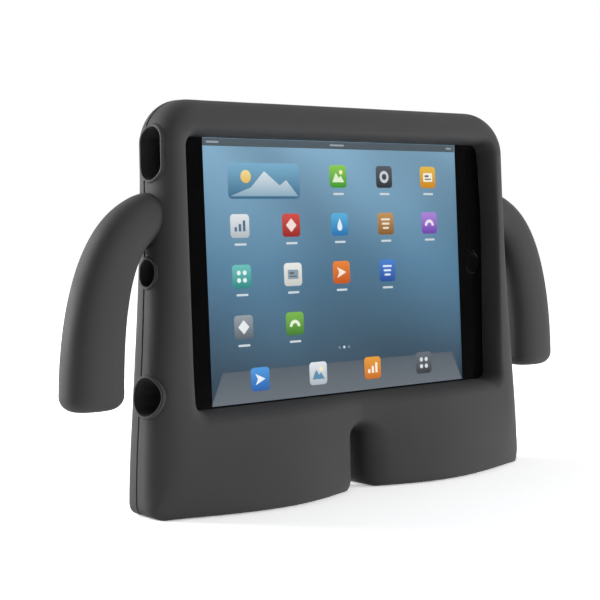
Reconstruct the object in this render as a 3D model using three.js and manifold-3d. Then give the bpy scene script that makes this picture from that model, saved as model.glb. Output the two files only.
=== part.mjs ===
// Moulded foam tablet case for children, with two arm-shaped carrying handles and two feet, and the
// small tablet that it holds. Millimetres, +Z up, screen towards -Y, origin on the ground below the
// middle of the case.
import * as THREE from 'three';
import { mergeVertices } from 'three/addons/utils/BufferGeometryUtils.js';
import Module from 'manifold-3d';

const wasm = await Module();
wasm.setup();

// Gap between pieces that touch on the real thing
const SEAT_GAP = 0.3;

// Tablet, with the depths of its layers behind the front of the glass
const TABLET = { width: 200, height: 134.7, thickness: 7.2, cornerRadius: 11, backEdgeRadius: 3 };
const LEAN = THREE.MathUtils.degToRad(3.4);
const GLASS_THICKNESS = 0.9;
const SCREEN_BORDER = { ends: 18.75, sides: 6.15 };
const DISPLAY = {
  width: TABLET.width - 2 * SCREEN_BORDER.ends,
  height: TABLET.height - 2 * SCREEN_BORDER.sides,
  thickness: 2,
};
const SHELL = { wall: 1.2, floor: 1, fillet: 1 };
const SEAL = { width: 2.2, thickness: 0.6 };

// Foam around the tablet
const FOAM = { sideAtTop: 8.2, sideAtBase: 17.7, top: 9.15, sole: 38.15, front: 10.6, back: 8.1 };
const SIDE_SWEEP = 1.3;
const FRONT_SLOPE = 0.049;
const BACK_SLOPE = 0.034;
const NOTCH = { halfWidth: 3.2, height: 29.5, soleHalfWidth: 3.8 };
const CORNER_RADIUS = { top: 21, foot: 5.5, innerFoot: 6 };
const SHIN_HEIGHT = 48;

// Rounded edges of the front and back: how far in from the outline each face begins, the corner
// radii of its own outline, and how deep the rounding goes at the sides, the sole and the notch
const FRONT_EDGE = {
  inset: { sideAtTop: 8, sideAtBase: 17.5, top: 11.2, sole: 4.5, notch: 13, notchTop: 5.5 },
  radius: { top: 10, foot: 31, innerFoot: 5 },
  depth: { side: 12, foot: 12, sole: 5, notch: 8 },
};
const BACK_EDGE = {
  inset: { sideAtTop: 9, sideAtBase: 8, top: 9, sole: 4, notch: 5, notchTop: 5 },
  radius: { top: 13, foot: 5, innerFoot: 5 },
  depth: { side: 8, foot: 6, sole: 4, notch: 5 },
};
const NO_INSET = { sideAtTop: 0, sideAtBase: 0, top: 0, sole: 0, notch: 0, notchTop: 0 };

// The feet swell forward: a smooth bulge on each side of the notch that fades out upwards
const TOE = { bulge: 11.5, middle: 52, outerSpan: 62, height: 62 };

// Window: how far the foam laps over the tablet's edges, and the rounded lip around it
const LAP = { left: 7, right: 4.5, top: 7.05, bottom: 6.55 };
const HOME_BUTTON_BOW = 3.5;
const WINDOW_CORNER_RADIUS = 5;
const LIP = { left: 7, right: 4.5, top: 4.5, bottom: 6, cornerRadius: 9 };

// Parting seam, half way through the tablet's thickness
const SEAM = { halfWidth: 0.45, depth: 0.8 };
const SEAM_DEPTH = TABLET.thickness / 2;

// Arms: each leaves the wall level, turns down and ends in a blunt hand. Across is the width seen
// from the front, deep the thickness from front to back.
const ARM = {
  rootHeight: 131.5,
  rootInset: 8,
  rootPull: 25,
  handHeight: 48.4,
  handPull: 52,
  fingerGap: 8.5,
  rootAcross: 9.4,
  rootDeep: 9.6,
  handAcross: 14.3,
  handDeep: 11.2,
  squareness: 2.3,
  flare: 0.4,
  flareLength: 4,
  endRadius: 6.5,
  plane: 5.2,
  slope: 0.013,
};

// Where the tablet's buttons and sockets lie: how far in from its nearest end, from its top or
// bottom edge, or up from the middle of the screen
const FROM_END = {
  mute: 21.5,
  volumeUp: 35.5,
  volumeDown: 46.5,
  volumePort: 35,
  rearCamera: 9.2,
  frontCamera: 9.9,
  homeButton: 9.9,
};
const FROM_TOP = { sleep: 15.5, rearCamera: 9.6 };
const FROM_BOTTOM = { headphone: 14.6 };
const ABOVE_MIDDLE = { microphone: 0.7, speaker: -23 };
const HALF = { width: TABLET.width / 2, height: TABLET.height / 2 };
const PLACES = {
  sleepAlong: HALF.height - FROM_TOP.sleep,
  microphoneAlong: ABOVE_MIDDLE.microphone,
  headphoneAlong: -HALF.height + FROM_BOTTOM.headphone,
  speakerAlong: ABOVE_MIDDLE.speaker,
  muteX: -HALF.width + FROM_END.mute,
  volumeUpX: -HALF.width + FROM_END.volumeUp,
  volumeDownX: -HALF.width + FROM_END.volumeDown,
  rearCameraX: -HALF.width + FROM_END.rearCamera,
  rearCameraAlong: HALF.height - FROM_TOP.rearCamera,
  frontCameraX: -HALF.width + FROM_END.frontCamera,
  homeButtonX: HALF.width - FROM_END.homeButton,
};

// Ports in the foam: stadium slots with a raised round rim
const PORTS = [
  { side: -1, along: PLACES.sleepAlong, halfLength: 11, halfWidth: 5.4 },
  { side: -1, along: PLACES.microphoneAlong, halfLength: 5.5, halfWidth: 4 },
  { side: -1, along: PLACES.headphoneAlong, halfLength: 7.6, halfWidth: 6.9 },
  { side: 1, along: 0, halfLength: 9.2, halfWidth: 5.8 },
  { side: 1, along: PLACES.speakerAlong, halfLength: 8, halfWidth: 3.8 },
];
const VOLUME_PORT = { halfLength: 19.5, halfWidth: 4.4, middle: -HALF.width + FROM_END.volumePort };
const RIM = { radius: 1, standOff: 0.5, sink: 0.4 };
const CAMERA_PORT = { radius: 5.6, flare: 2.8 };

// Buttons and their switches
const HOME_BUTTON = { radius: 5.75, thickness: 1.4, recess: 0.1, travel: 0.3, stemRadius: 1.5 };
const SIDE_BUTTON = { halfLength: 4.5, halfWidth: 1, proud: 0.5, travel: 0.35 };
const TOP_BUTTON = { halfLength: 4, halfWidth: 1, proud: 0.5, travel: 0.3 };
const MUTE = { halfLength: 1.8, travel: 1.5, proud: 0.2 };
const FLANGE = { overhang: 0.7, thickness: 0.55, towardsGlass: 1.4, towardsBack: 0.9 };
const BOARD_THICKNESS = 1.5;
const BOARD_REACH = { besideSleep: 7, beforeMute: 5, pastVolume: 6 };

const COLOURS = {
  foam: ['#3d3d3f', 0.62, 0],
  glass: ['#0b0b0d', 0.08, 0],
  panel: ['#5f88a6', 0.3, 0],
  shell: ['#2c2e33', 0.4, 0.9],
  button: ['#131316', 0.3, 0],
  steel: ['#b9bcc0', 0.35, 1],
  rubber: ['#17181a', 0.8, 0],
  battery: ['#222427', 0.5, 0],
  board: ['#1d4b35', 0.6, 0],
  lens: ['#101423', 0.05, 0],
};

const object = new THREE.Group();
const tablet = new THREE.Group();
tablet.rotation.x = -LEAN;
tablet.position.z = HALF.height + FOAM.sole;
object.add(tablet);

// Solids from three.js geometry, and back

function solidOf(geometry) {
  const bare = geometry.clone();
  bare.deleteAttribute('normal');
  bare.deleteAttribute('uv');
  const merged = mergeVertices(bare, 1e-4);
  return new wasm.Manifold(new wasm.Mesh({
    numProp: 3,
    vertProperties: new Float32Array(merged.attributes.position.array),
    triVerts: new Uint32Array(merged.index.array),
  }));
}

function geometryOf(solid) {
  const mesh = solid.getMesh();
  const geometry = new THREE.BufferGeometry();
  const positions = new Float32Array(mesh.vertProperties);
  geometry.setAttribute('position', new THREE.BufferAttribute(positions, 3));
  geometry.setIndex(new THREE.BufferAttribute(new Uint32Array(mesh.triVerts), 1));
  geometry.computeVertexNormals();
  return geometry;
}

function joined(first, ...others) {
  return others.reduce((whole, other) => whole.add(other), first);
}

function cut(solid, ...tools) {
  return tools.reduce((left, tool) => left.subtract(tool), solid);
}

function place(group, name, colour, solid) {
  const [color, roughness, metalness] = COLOURS[colour];
  const material = new THREE.MeshStandardMaterial({ color, roughness, metalness });
  const mesh = new THREE.Mesh(geometryOf(solid), material);
  mesh.name = name;
  group.add(mesh);
}

// A skin through rings of points. Its ends are closed by fans, or it closes on itself.
function skin(rings, closesOnItself = false) {
  const count = rings[0].length;
  const points = rings.flat();
  const index = [];
  const spans = closesOnItself ? rings.length : rings.length - 1;
  for (let r = 0; r < spans; r += 1) {
    const near = r * count;
    const far = ((r + 1) % rings.length) * count;
    for (let i = 0; i < count; i += 1) {
      const j = (i + 1) % count;
      index.push(near + i, near + j, far + i, near + j, far + j, far + i);
    }
  }
  if (!closesOnItself) {
    const ends = [[0, true], [rings.length - 1, false]];
    for (const [r, reversed] of ends) {
      const middle = points.length;
      const centre = rings[r].reduce((sum, p) => sum.add(p), new THREE.Vector3());
      points.push(centre.divideScalar(count));
      for (let i = 0; i < count; i += 1) {
        const pair = [r * count + i, r * count + ((i + 1) % count)];
        index.push(middle, ...(reversed ? pair.reverse() : pair));
      }
    }
  }
  const geometry = new THREE.BufferGeometry().setFromPoints(points);
  geometry.setIndex(index);
  const solid = solidOf(geometry);
  if (solid.volume() > 0) return solid;
  geometry.setIndex(index.reverse());
  return solidOf(geometry);
}

// Small solids in the tablet's own frame: x across, y depth behind the glass, z along

function box(x, y, z) {
  const geometry = new THREE.BoxGeometry(x[1] - x[0], y[1] - y[0], z[1] - z[0]);
  geometry.translate((x[0] + x[1]) / 2, (y[0] + y[1]) / 2, (z[0] + z[1]) / 2);
  return solidOf(geometry);
}

// A round bar along one axis, from one place to another on it
function bar(axis, radius, from, to, centre, sides = 24) {
  const geometry = new THREE.CylinderGeometry(radius, radius, to - from, sides);
  if (axis === 'x') geometry.rotateZ(-Math.PI / 2);
  if (axis === 'z') geometry.rotateX(Math.PI / 2);
  const middle = new THREE.Vector3(centre.x ?? 0, centre.y ?? 0, centre.z ?? 0);
  middle[axis] = (from + to) / 2;
  geometry.translate(middle.x, middle.y, middle.z);
  return solidOf(geometry);
}

function roundedRectangle(width, height, radius, segments = 6) {
  const points = [];
  for (const [sx, sz, start] of [[1, -1, -90], [1, 1, 0], [-1, 1, 90], [-1, -1, 180]]) {
    for (let k = 0; k <= segments; k += 1) {
      const angle = THREE.MathUtils.degToRad(start + (90 * k) / segments);
      const x = sx * (width / 2 - radius) + radius * Math.cos(angle);
      const z = sz * (height / 2 - radius) + radius * Math.sin(angle);
      points.push(new THREE.Vector2(x, z));
    }
  }
  return points;
}

// A plate with rounded corners, from its outline's inset at each depth
function plate(width, height, radius, sections) {
  return skin(sections.map(([depth, inset]) => roundedRectangle(
    width - 2 * inset,
    height - 2 * inset,
    radius - inset,
  ).map((p) => new THREE.Vector3(p.x, depth, p.y))));
}

// A stadium in a plane: its long way along the second axis
function stadium(halfLength, halfWidth, segments = 8) {
  const straight = halfLength - halfWidth;
  const points = [];
  for (const [sign, start] of [[1, 0], [-1, 180]]) {
    for (let k = 0; k <= segments; k += 1) {
      const angle = THREE.MathUtils.degToRad(start + (180 * k) / segments);
      const normal = new THREE.Vector2(Math.cos(angle), Math.sin(angle));
      const point = normal.clone().multiplyScalar(halfWidth);
      point.y += sign * straight;
      points.push({ point, normal });
    }
  }
  return points;
}

// A stadium bar through a side wall (along x) or the top wall (along z) of the tablet's frame
function stadiumBar(axis, halfLength, halfWidth, from, to, centre) {
  const ring = (where) => stadium(halfLength, halfWidth, 6).map(({ point }) => (axis === 'x'
    ? new THREE.Vector3(where, centre.y + point.x, centre.z + point.y)
    : new THREE.Vector3(centre.x + point.y, centre.y + point.x, where)));
  return skin([ring(from), ring(to)]);
}

// Case: faces, outline and window

const SCREEN_HEIGHT = HALF.height + FOAM.sole;
const CASE_HEIGHT = SCREEN_HEIGHT + HALF.height + FOAM.top;
const TOP_HALF_WIDTH = HALF.width + FOAM.sideAtTop;
const BASE_HALF_WIDTH = HALF.width + FOAM.sideAtBase;

// A point given in the leaning tablet's frame
function leaned(x, along, depth) {
  return new THREE.Vector3(
    x,
    along * Math.sin(LEAN) + depth * Math.cos(LEAN),
    SCREEN_HEIGHT + along * Math.cos(LEAN) - depth * Math.sin(LEAN),
  );
}

function swell(distance, span) {
  const share = Math.min(Math.abs(distance) / span, 1);
  return (1 - share ** 2) ** 1.5;
}

function frontFace(x, z) {
  const off = Math.abs(x) - TOE.middle;
  const across = swell(off, off > 0 ? TOE.outerSpan : TOE.middle);
  const toe = TOE.bulge * across * swell(z, TOE.height);
  return -FOAM.front + FRONT_SLOPE * (z - SCREEN_HEIGHT) - toe;
}

function backFace(z) {
  return TABLET.thickness + FOAM.back + BACK_SLOPE * (z - SCREEN_HEIGHT);
}

function seamPlane(z) {
  return SEAM_DEPTH + Math.tan(LEAN) * (z - SCREEN_HEIGHT);
}

// A side of an outline: it sweeps outwards towards the ground. Its half width at any height, how it
// leans there, the centre of a corner that touches it, and the stretch between two heights.
function sideOf(topHalfWidth, baseHalfWidth) {
  const share = (z) => Math.max(CASE_HEIGHT - z, 0) / CASE_HEIGHT;
  const spread = baseHalfWidth - topHalfWidth;
  const at = (z) => topHalfWidth + spread * THREE.MathUtils.smoothstep(share(z) ** SIDE_SWEEP, 0, 1);
  const angle = (z) => Math.atan(at(z - 0.5) - at(z + 0.5));
  const centre = (z, radius) => {
    const touch = z + radius * Math.sin(angle(z));
    return new THREE.Vector2(at(touch) - radius * Math.cos(angle(z)), z);
  };
  const stretch = (from, to) => {
    const curve = new THREE.Curve();
    curve.getPoint = (t) => {
      const z = THREE.MathUtils.lerp(from, to, t);
      return new THREE.Vector2(at(z), z);
    };
    return curve;
  };
  return { angle, at, centre, stretch };
}

const CASE_SIDE = sideOf(TOP_HALF_WIDTH, BASE_HALF_WIDTH);

function halfWidthAt(z) {
  const corner = CASE_SIDE.centre(CASE_HEIGHT - CORNER_RADIUS.top, CORNER_RADIUS.top);
  const rise = Math.max(z - corner.y, 0);
  const round = corner.x + Math.sqrt(Math.max(CORNER_RADIUS.top ** 2 - rise ** 2, 0));
  return rise > 0 ? Math.min(CASE_SIDE.at(z), round) : CASE_SIDE.at(z);
}

function arc(centre, radius, from, to) {
  return new THREE.EllipseCurve(centre.x, centre.y, radius, radius, from, to, to < from);
}

function line(x0, z0, x1, z1) {
  return new THREE.LineCurve(new THREE.Vector2(x0, z0), new THREE.Vector2(x1, z1));
}

// One half of a window outline, from the middle of its bottom to the middle of its top, in as many
// runs as the case's own outline has
function windowRuns({ halfWidth, bow = 0, top, bottom, radius }) {
  const a = NOTCH.halfWidth + FRONT_EDGE.inset.notch;
  const b = a + 1.5;
  const c = b + CORNER_RADIUS.innerFoot;
  const low = bottom + radius;
  const high = top - radius;
  const split = low + 0.08 * (high - low);
  const edge = new THREE.QuadraticBezierCurve(
    new THREE.Vector2(halfWidth, low),
    new THREE.Vector2(halfWidth + 2 * bow, (low + high) / 2),
    new THREE.Vector2(halfWidth, high),
  );
  const share = (split - low) / (high - low);
  const part = (from, to) => ({ getPoint: (t) => edge.getPoint(from + (to - from) * t) });
  return [
    line(0, bottom, a, bottom),
    line(a, bottom, b, bottom),
    line(b, bottom, c, bottom),
    line(c, bottom, halfWidth - radius, bottom),
    arc(new THREE.Vector2(halfWidth - radius, low), radius, -Math.PI / 2, 0),
    part(0, share),
    part(share, 1),
    arc(new THREE.Vector2(halfWidth - radius, high), radius, 0, Math.PI / 2),
    line(halfWidth - radius, top, 0, top),
  ];
}

// One half of the case's outline, or of the front or back face inside it, in the same runs
function outlineRuns(inset, radius) {
  const side = sideOf(TOP_HALF_WIDTH - inset.sideAtTop, BASE_HALF_WIDTH - inset.sideAtBase);
  const top = CASE_HEIGHT - inset.top;
  const topCorner = side.centre(top - radius.top, radius.top);
  const footCorner = side.centre(inset.sole + radius.foot, radius.foot);
  const innerCorner = new THREE.Vector2(
    NOTCH.soleHalfWidth + inset.notch + radius.innerFoot,
    inset.sole + radius.innerFoot,
  );
  const notchRadius = NOTCH.halfWidth + inset.notch;
  const notchCentre = new THREE.Vector2(0, NOTCH.height + inset.notchTop - notchRadius);
  const footAngle = side.angle(footCorner.y);
  const topAngle = side.angle(topCorner.y);
  const footEnd = footCorner.y + radius.foot * Math.sin(footAngle);
  const topEnd = topCorner.y + radius.top * Math.sin(topAngle);
  return [
    arc(notchCentre, notchRadius, Math.PI / 2, 0),
    line(notchRadius, notchCentre.y, innerCorner.x - radius.innerFoot, innerCorner.y),
    arc(innerCorner, radius.innerFoot, Math.PI, 1.5 * Math.PI),
    line(innerCorner.x, inset.sole, footCorner.x, inset.sole),
    arc(footCorner, radius.foot, -Math.PI / 2, footAngle),
    side.stretch(footEnd, SHIN_HEIGHT),
    side.stretch(SHIN_HEIGHT, topEnd),
    arc(topCorner, radius.top, topAngle, Math.PI / 2),
    line(topCorner.x, top, 0, top),
  ];
}

// Steps of each run, and the depth of an edge's rounding from one end of the run to the other
function runPlan(depth) {
  return [
    { steps: 4, depths: [depth.notch, depth.notch] },
    { steps: 2, depths: [depth.notch, depth.notch] },
    { steps: 3, depths: [depth.notch, depth.sole] },
    { steps: 9, depths: [depth.sole, depth.sole] },
    { steps: 5, depths: [depth.sole, depth.foot] },
    { steps: 3, depths: [depth.foot, depth.side] },
    { steps: 6, depths: [depth.side, depth.side] },
    { steps: 6, depths: [depth.side, depth.side] },
    { steps: 6, depths: [depth.side, depth.side] },
  ];
}

// Stations round one half of the case, each with its place on every outline
function halfStations(side) {
  const contact = {
    halfWidth: HALF.width - (side < 0 ? LAP.left : LAP.right),
    bow: side < 0 ? 0 : HOME_BUTTON_BOW,
    top: HALF.height - LAP.top,
    bottom: -HALF.height + LAP.bottom,
    radius: WINDOW_CORNER_RADIUS,
  };
  const lip = {
    halfWidth: contact.halfWidth + (side < 0 ? LIP.left : LIP.right),
    top: SCREEN_HEIGHT + contact.top + LIP.top,
    bottom: SCREEN_HEIGHT + contact.bottom - LIP.bottom,
    radius: LIP.cornerRadius,
  };
  const outlines = {
    outer: outlineRuns(NO_INSET, CORNER_RADIUS),
    front: outlineRuns(FRONT_EDGE.inset, FRONT_EDGE.radius),
    back: outlineRuns(BACK_EDGE.inset, BACK_EDGE.radius),
    lip: windowRuns(lip),
    glass: windowRuns(contact),
  };
  const frontPlan = runPlan(FRONT_EDGE.depth);
  const backPlan = runPlan(BACK_EDGE.depth);
  const stations = [];
  outlines.outer.forEach((curve, r) => {
    const { steps } = frontPlan[r];
    for (let k = r === 0 ? 0 : 1; k <= steps; k += 1) {
      const t = k / steps;
      const tangent = curve.getTangent(t);
      const station = {
        outward: new THREE.Vector2(side * tangent.y, -tangent.x),
        frontDepth: THREE.MathUtils.lerp(...frontPlan[r].depths, t),
        backDepth: THREE.MathUtils.lerp(...backPlan[r].depths, t),
      };
      for (const [name, runs] of Object.entries(outlines)) {
        const point = runs[r].getPoint(t);
        station[name] = new THREE.Vector2(side * point.x, point.y);
      }
      stations.push(station);
    }
  });
  return stations;
}

// Body of the case: one skin that runs from the back face round the edge, over the front face and
// the lip, and into the window as far as the glass
function caseBody() {
  const right = halfStations(1);
  const left = halfStations(-1).reverse().slice(1, -1);
  const stations = [...right, ...left];
  const rings = [];
  const ring = (pointAt) => rings.push(stations.map(pointAt));
  const quarter = (steps) => Array.from({ length: steps + 1 }, (_, k) => (k / steps) * (Math.PI / 2));

  ring((s) => {
    const z = SCREEN_HEIGHT + s.glass.y;
    return new THREE.Vector3(s.glass.x, backFace(z), z);
  });
  for (const angle of quarter(4)) {
    ring((s) => {
      const p = s.back.clone().lerp(s.outer, Math.sin(angle));
      return new THREE.Vector3(p.x, backFace(p.y) - s.backDepth * (1 - Math.cos(angle)), p.y);
    });
  }
  for (const [offset, depth] of [[SEAM.halfWidth, 0], [0, SEAM.depth], [-SEAM.halfWidth, 0]]) {
    ring((s) => {
      const p = s.outer.clone().addScaledVector(s.outward, -depth);
      return new THREE.Vector3(p.x, seamPlane(p.y) + offset, p.y);
    });
  }
  for (const angle of quarter(5)) {
    ring((s) => {
      const p = s.outer.clone().lerp(s.front, 1 - Math.cos(angle));
      return new THREE.Vector3(p.x, frontFace(p.x, p.y) + s.frontDepth * (1 - Math.sin(angle)), p.y);
    });
  }
  for (const share of [0.25, 0.5, 0.75, 1]) {
    ring((s) => {
      const p = s.front.clone().lerp(s.lip, share);
      return new THREE.Vector3(p.x, frontFace(p.x, p.y), p.y);
    });
  }
  for (const angle of quarter(5).slice(1)) {
    ring((s) => {
      const start = new THREE.Vector3(s.lip.x, frontFace(s.lip.x, s.lip.y), s.lip.y);
      const end = leaned(s.glass.x, s.glass.y, -SEAT_GAP);
      const inward = Math.sin(angle);
      return new THREE.Vector3(
        THREE.MathUtils.lerp(start.x, end.x, inward),
        THREE.MathUtils.lerp(start.y, end.y, 1 - Math.cos(angle)),
        THREE.MathUtils.lerp(start.z, end.z, inward),
      );
    });
  }
  ring((s) => leaned(s.glass.x, s.glass.y, TABLET.thickness / 2));
  return skin(rings);
}

// One arm: a rounded section carried along a curve in the arms' own plane
function arm(side) {
  const sections = 16;
  const endSteps = 4;
  const corners = 20;
  const rootX = halfWidthAt(ARM.rootHeight) - ARM.rootInset;
  const handX = halfWidthAt(ARM.handHeight) + ARM.fingerGap + ARM.handAcross;
  const path = new THREE.CubicBezierCurve(
    new THREE.Vector2(rootX, ARM.rootHeight),
    new THREE.Vector2(rootX + ARM.rootPull, ARM.rootHeight),
    new THREE.Vector2(handX, ARM.handHeight + ARM.handPull),
    new THREE.Vector2(handX, ARM.handHeight),
  );
  const length = path.getLength();
  const section = (distance, shrink) => {
    const t = Math.min(distance / length, 1);
    const centre = path.getPointAt(t);
    const tangent = path.getTangentAt(t);
    const outside = Math.max(distance - ARM.rootInset, 0);
    const grow = ARM.flare * Math.exp(-((outside / ARM.flareLength) ** 2)) - shrink;
    const filled = Math.sin(t * (Math.PI / 2));
    const across = THREE.MathUtils.lerp(ARM.rootAcross, ARM.handAcross, filled) + grow;
    const deep = THREE.MathUtils.lerp(ARM.rootDeep, ARM.handDeep, filled) + grow;
    return Array.from({ length: corners }, (_, k) => {
      const angle = (2 * Math.PI * k) / corners;
      const round = (value) => Math.sign(value) * Math.abs(value) ** (2 / ARM.squareness);
      const out = across * round(Math.cos(angle));
      const z = centre.y + tangent.x * out;
      const y = ARM.plane + ARM.slope * (z - SCREEN_HEIGHT) + deep * round(Math.sin(angle));
      return new THREE.Vector3(side * (centre.x - tangent.y * out), y, z);
    });
  };
  const rings = [];
  for (let k = 0; k < sections; k += 1) {
    rings.push(section(((length - ARM.endRadius) * k) / (sections - 1), 0));
  }
  for (let k = 1; k <= endSteps; k += 1) {
    const angle = (k / endSteps) * (Math.PI / 2);
    const distance = length - ARM.endRadius * (1 - Math.sin(angle));
    rings.push(section(distance, ARM.endRadius * (1 - Math.cos(angle))));
  }
  return skin(rings);
}

// Drop of a side wall's surface below the outline, in front of or behind its flat middle
function wallDrop(y, z) {
  const half = halfWidthAt(z);
  const drop = (into, inset, depth) => {
    const share = Math.min(Math.max(into / depth, 0), 1);
    return inset * (1 - Math.sqrt(1 - share ** 2));
  };
  const intoFront = frontFace(half, z) + FRONT_EDGE.depth.side - y;
  const intoBack = y - (backFace(z) - BACK_EDGE.depth.side);
  return drop(intoFront, FRONT_EDGE.inset.sideAtTop, FRONT_EDGE.depth.side)
    + drop(intoBack, BACK_EDGE.inset.sideAtTop, BACK_EDGE.depth.side);
}

// A round rim that follows the case's edge around a port. The frame gives, for each place on the
// stadium, a point of the surface and the directions across the rim and out of the case.
function rim(halfLength, halfWidth, frameAt) {
  const sides = 8;
  const rings = stadium(halfLength + RIM.standOff, halfWidth + RIM.standOff).map(({ point, normal }) => {
    const { surface, across, out } = frameAt(point, normal);
    return Array.from({ length: sides }, (_, k) => {
      const angle = (2 * Math.PI * k) / sides;
      return surface.clone()
        .addScaledVector(out, RIM.radius * Math.sin(angle) - RIM.sink)
        .addScaledVector(across, RIM.radius * Math.cos(angle));
    });
  });
  return skin(rings, true);
}

function sidePort({ side, along, halfLength, halfWidth }) {
  const out = new THREE.Vector3(side, 0, 0);
  const frameAt = (point, normal) => {
    const place = leaned(0, along + point.y, SEAM_DEPTH + point.x);
    place.x = side * (halfWidthAt(place.z) - wallDrop(place.y, place.z));
    const across = new THREE.Vector3(0, normal.x, normal.y);
    return { surface: place, across, out };
  };
  const hole = (x) => stadium(halfLength, halfWidth)
    .map(({ point }) => leaned(side * x, along + point.y, SEAM_DEPTH + point.x));
  return {
    raised: rim(halfLength, halfWidth, frameAt),
    bore: skin([hole(HALF.width - 2), hole(halfWidthAt(SCREEN_HEIGHT + along) + ARM.fingerGap / 2)]),
  };
}

function volumePort() {
  const { halfLength, halfWidth, middle } = VOLUME_PORT;
  const topAlong = (CASE_HEIGHT - SCREEN_HEIGHT) / Math.cos(LEAN);
  const hole = (along) => stadium(halfLength, halfWidth)
    .map(({ point }) => leaned(middle + point.y, along, SEAM_DEPTH + point.x));
  return skin([hole(HALF.height - 2), hole(topAlong + 10)]);
}

function cameraPort() {
  const { radius, flare } = CAMERA_PORT;
  const depths = [TABLET.thickness - 2, TABLET.thickness + FOAM.back / 3, TABLET.thickness + 2 * FOAM.back];
  const radii = [radius, radius, radius + 2.5 * flare];
  const rings = depths.map((depth, k) => Array.from({ length: 28 }, (_, i) => {
    const angle = (2 * Math.PI * i) / 28;
    const x = PLACES.rearCameraX + radii[k] * Math.cos(angle);
    return leaned(x, PLACES.rearCameraAlong + radii[k] * Math.sin(angle), depth);
  }));
  return skin(rings);
}

function tabletPocket() {
  const width = TABLET.width + 2 * SEAT_GAP;
  const height = TABLET.height + 2 * SEAT_GAP;
  const round = TABLET.backEdgeRadius * 0.3;
  const rings = [
    [-SEAT_GAP, 0],
    [TABLET.thickness - TABLET.backEdgeRadius + SEAT_GAP, 0],
    [TABLET.thickness - round + SEAT_GAP, round],
    [TABLET.thickness + SEAT_GAP, TABLET.backEdgeRadius],
  ].map(([depth, inset]) => roundedRectangle(
    width - 2 * inset,
    height - 2 * inset,
    TABLET.cornerRadius + SEAT_GAP - inset,
  ).map((p) => leaned(p.x, p.y, depth)));
  return skin(rings);
}

function foamCase() {
  const ports = PORTS.map(sidePort);
  const moulding = joined(caseBody(), arm(-1), arm(1), ...ports.map((port) => port.raised));
  const bores = ports.map((port) => port.bore);
  return cut(moulding, tabletPocket(), cameraPort(), volumePort(), ...bores);
}

place(object, 'foam_case', 'foam', foamCase());

// Tablet: shell, glass and display

const INSIDE = {
  x: HALF.width - SHELL.wall,
  z: HALF.height - SHELL.wall,
  floor: TABLET.thickness - SHELL.floor,
};
const SEATED = {
  x: INSIDE.x - SEAT_GAP,
  z: INSIDE.z - SEAT_GAP,
  floor: INSIDE.floor - SEAT_GAP,
};
const GLASS_BACK = GLASS_THICKNESS + SEAT_GAP;
const SEAL_BACK = GLASS_BACK + SEAL.thickness + SEAT_GAP;
const MIDDLE = TABLET.thickness / 2;
const SHELL_RADIUS = TABLET.cornerRadius - SHELL.wall;
const GLASS_RADIUS = SHELL_RADIUS - SEAT_GAP;

function speakerHoles() {
  return [-2, -1, 0, 1, 2].map((k) => (
    bar('x', 0.7, INSIDE.x - 1, HALF.width + 1, { y: MIDDLE, z: PLACES.speakerAlong + 2.6 * k }, 10)
  ));
}

function topSlot(x, halfLength) {
  return stadiumBar(
    'z',
    halfLength + SEAT_GAP,
    TOP_BUTTON.halfWidth + SEAT_GAP,
    INSIDE.z - 1,
    HALF.height + 1,
    { x, y: MIDDLE },
  );
}

const MUTE_SLOT_X = PLACES.muteX + MUTE.travel / 2;
const HEADPHONE_RADIUS = 1.75;
const CONNECTOR = { halfLength: 4.5, halfWidth: 1.15, depth: 4.5, length: 5.2, wall: 0.7 };
const REAR_CAMERA = { ringRadius: 3.3, lensRadius: 2.1, ringWall: 0.8, size: 7, proud: 0.15 };

function rearShell() {
  const edge = TABLET.backEdgeRadius;
  const outer = plate(TABLET.width, TABLET.height, TABLET.cornerRadius, [
    [0, 0],
    [TABLET.thickness - edge, 0],
    [TABLET.thickness - 0.5 * edge, 0.13 * edge],
    [TABLET.thickness - 0.13 * edge, 0.5 * edge],
    [TABLET.thickness, edge],
  ]);
  const inner = plate(2 * INSIDE.x, 2 * INSIDE.z, SHELL_RADIUS, [
    [-1, 0],
    [TABLET.thickness - edge, 0],
    [INSIDE.floor, SHELL.fillet],
  ]);
  const sleepSlot = stadiumBar(
    'x',
    SIDE_BUTTON.halfLength + SEAT_GAP,
    SIDE_BUTTON.halfWidth + SEAT_GAP,
    -HALF.width - 1,
    -INSIDE.x + 1,
    { y: MIDDLE, z: PLACES.sleepAlong },
  );
  const connectorSlot = stadiumBar(
    'x',
    CONNECTOR.halfLength,
    CONNECTOR.halfWidth,
    INSIDE.x - 1,
    HALF.width + 1,
    { y: MIDDLE, z: 0 },
  );
  const leftHole = (along, radius) => bar(
    'x',
    radius,
    -HALF.width - 1,
    -INSIDE.x + 1,
    { y: MIDDLE, z: along },
    16,
  );
  return cut(
    outer,
    inner,
    sleepSlot,
    connectorSlot,
    leftHole(PLACES.microphoneAlong, 0.7),
    leftHole(PLACES.headphoneAlong, HEADPHONE_RADIUS),
    topSlot(PLACES.volumeUpX, TOP_BUTTON.halfLength),
    topSlot(PLACES.volumeDownX, TOP_BUTTON.halfLength),
    topSlot(MUTE_SLOT_X, MUTE.halfLength + MUTE.travel / 2),
    ...speakerHoles(),
    bar('y', REAR_CAMERA.ringRadius + SEAT_GAP, INSIDE.floor - 1, TABLET.thickness + 1, {
      x: PLACES.rearCameraX,
      z: PLACES.rearCameraAlong,
    }),
  );
}

place(tablet, 'tablet_rear_shell', 'shell', rearShell());

const glassPlate = plate(2 * SEATED.x, 2 * SEATED.z, GLASS_RADIUS, [[0, 0], [GLASS_THICKNESS, 0]]);
const homeHole = bar('y', HOME_BUTTON.radius + SEAT_GAP, -1, GLASS_BACK, { x: PLACES.homeButtonX }, 32);
place(tablet, 'front_glass', 'glass', cut(glassPlate, homeHole));

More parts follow.
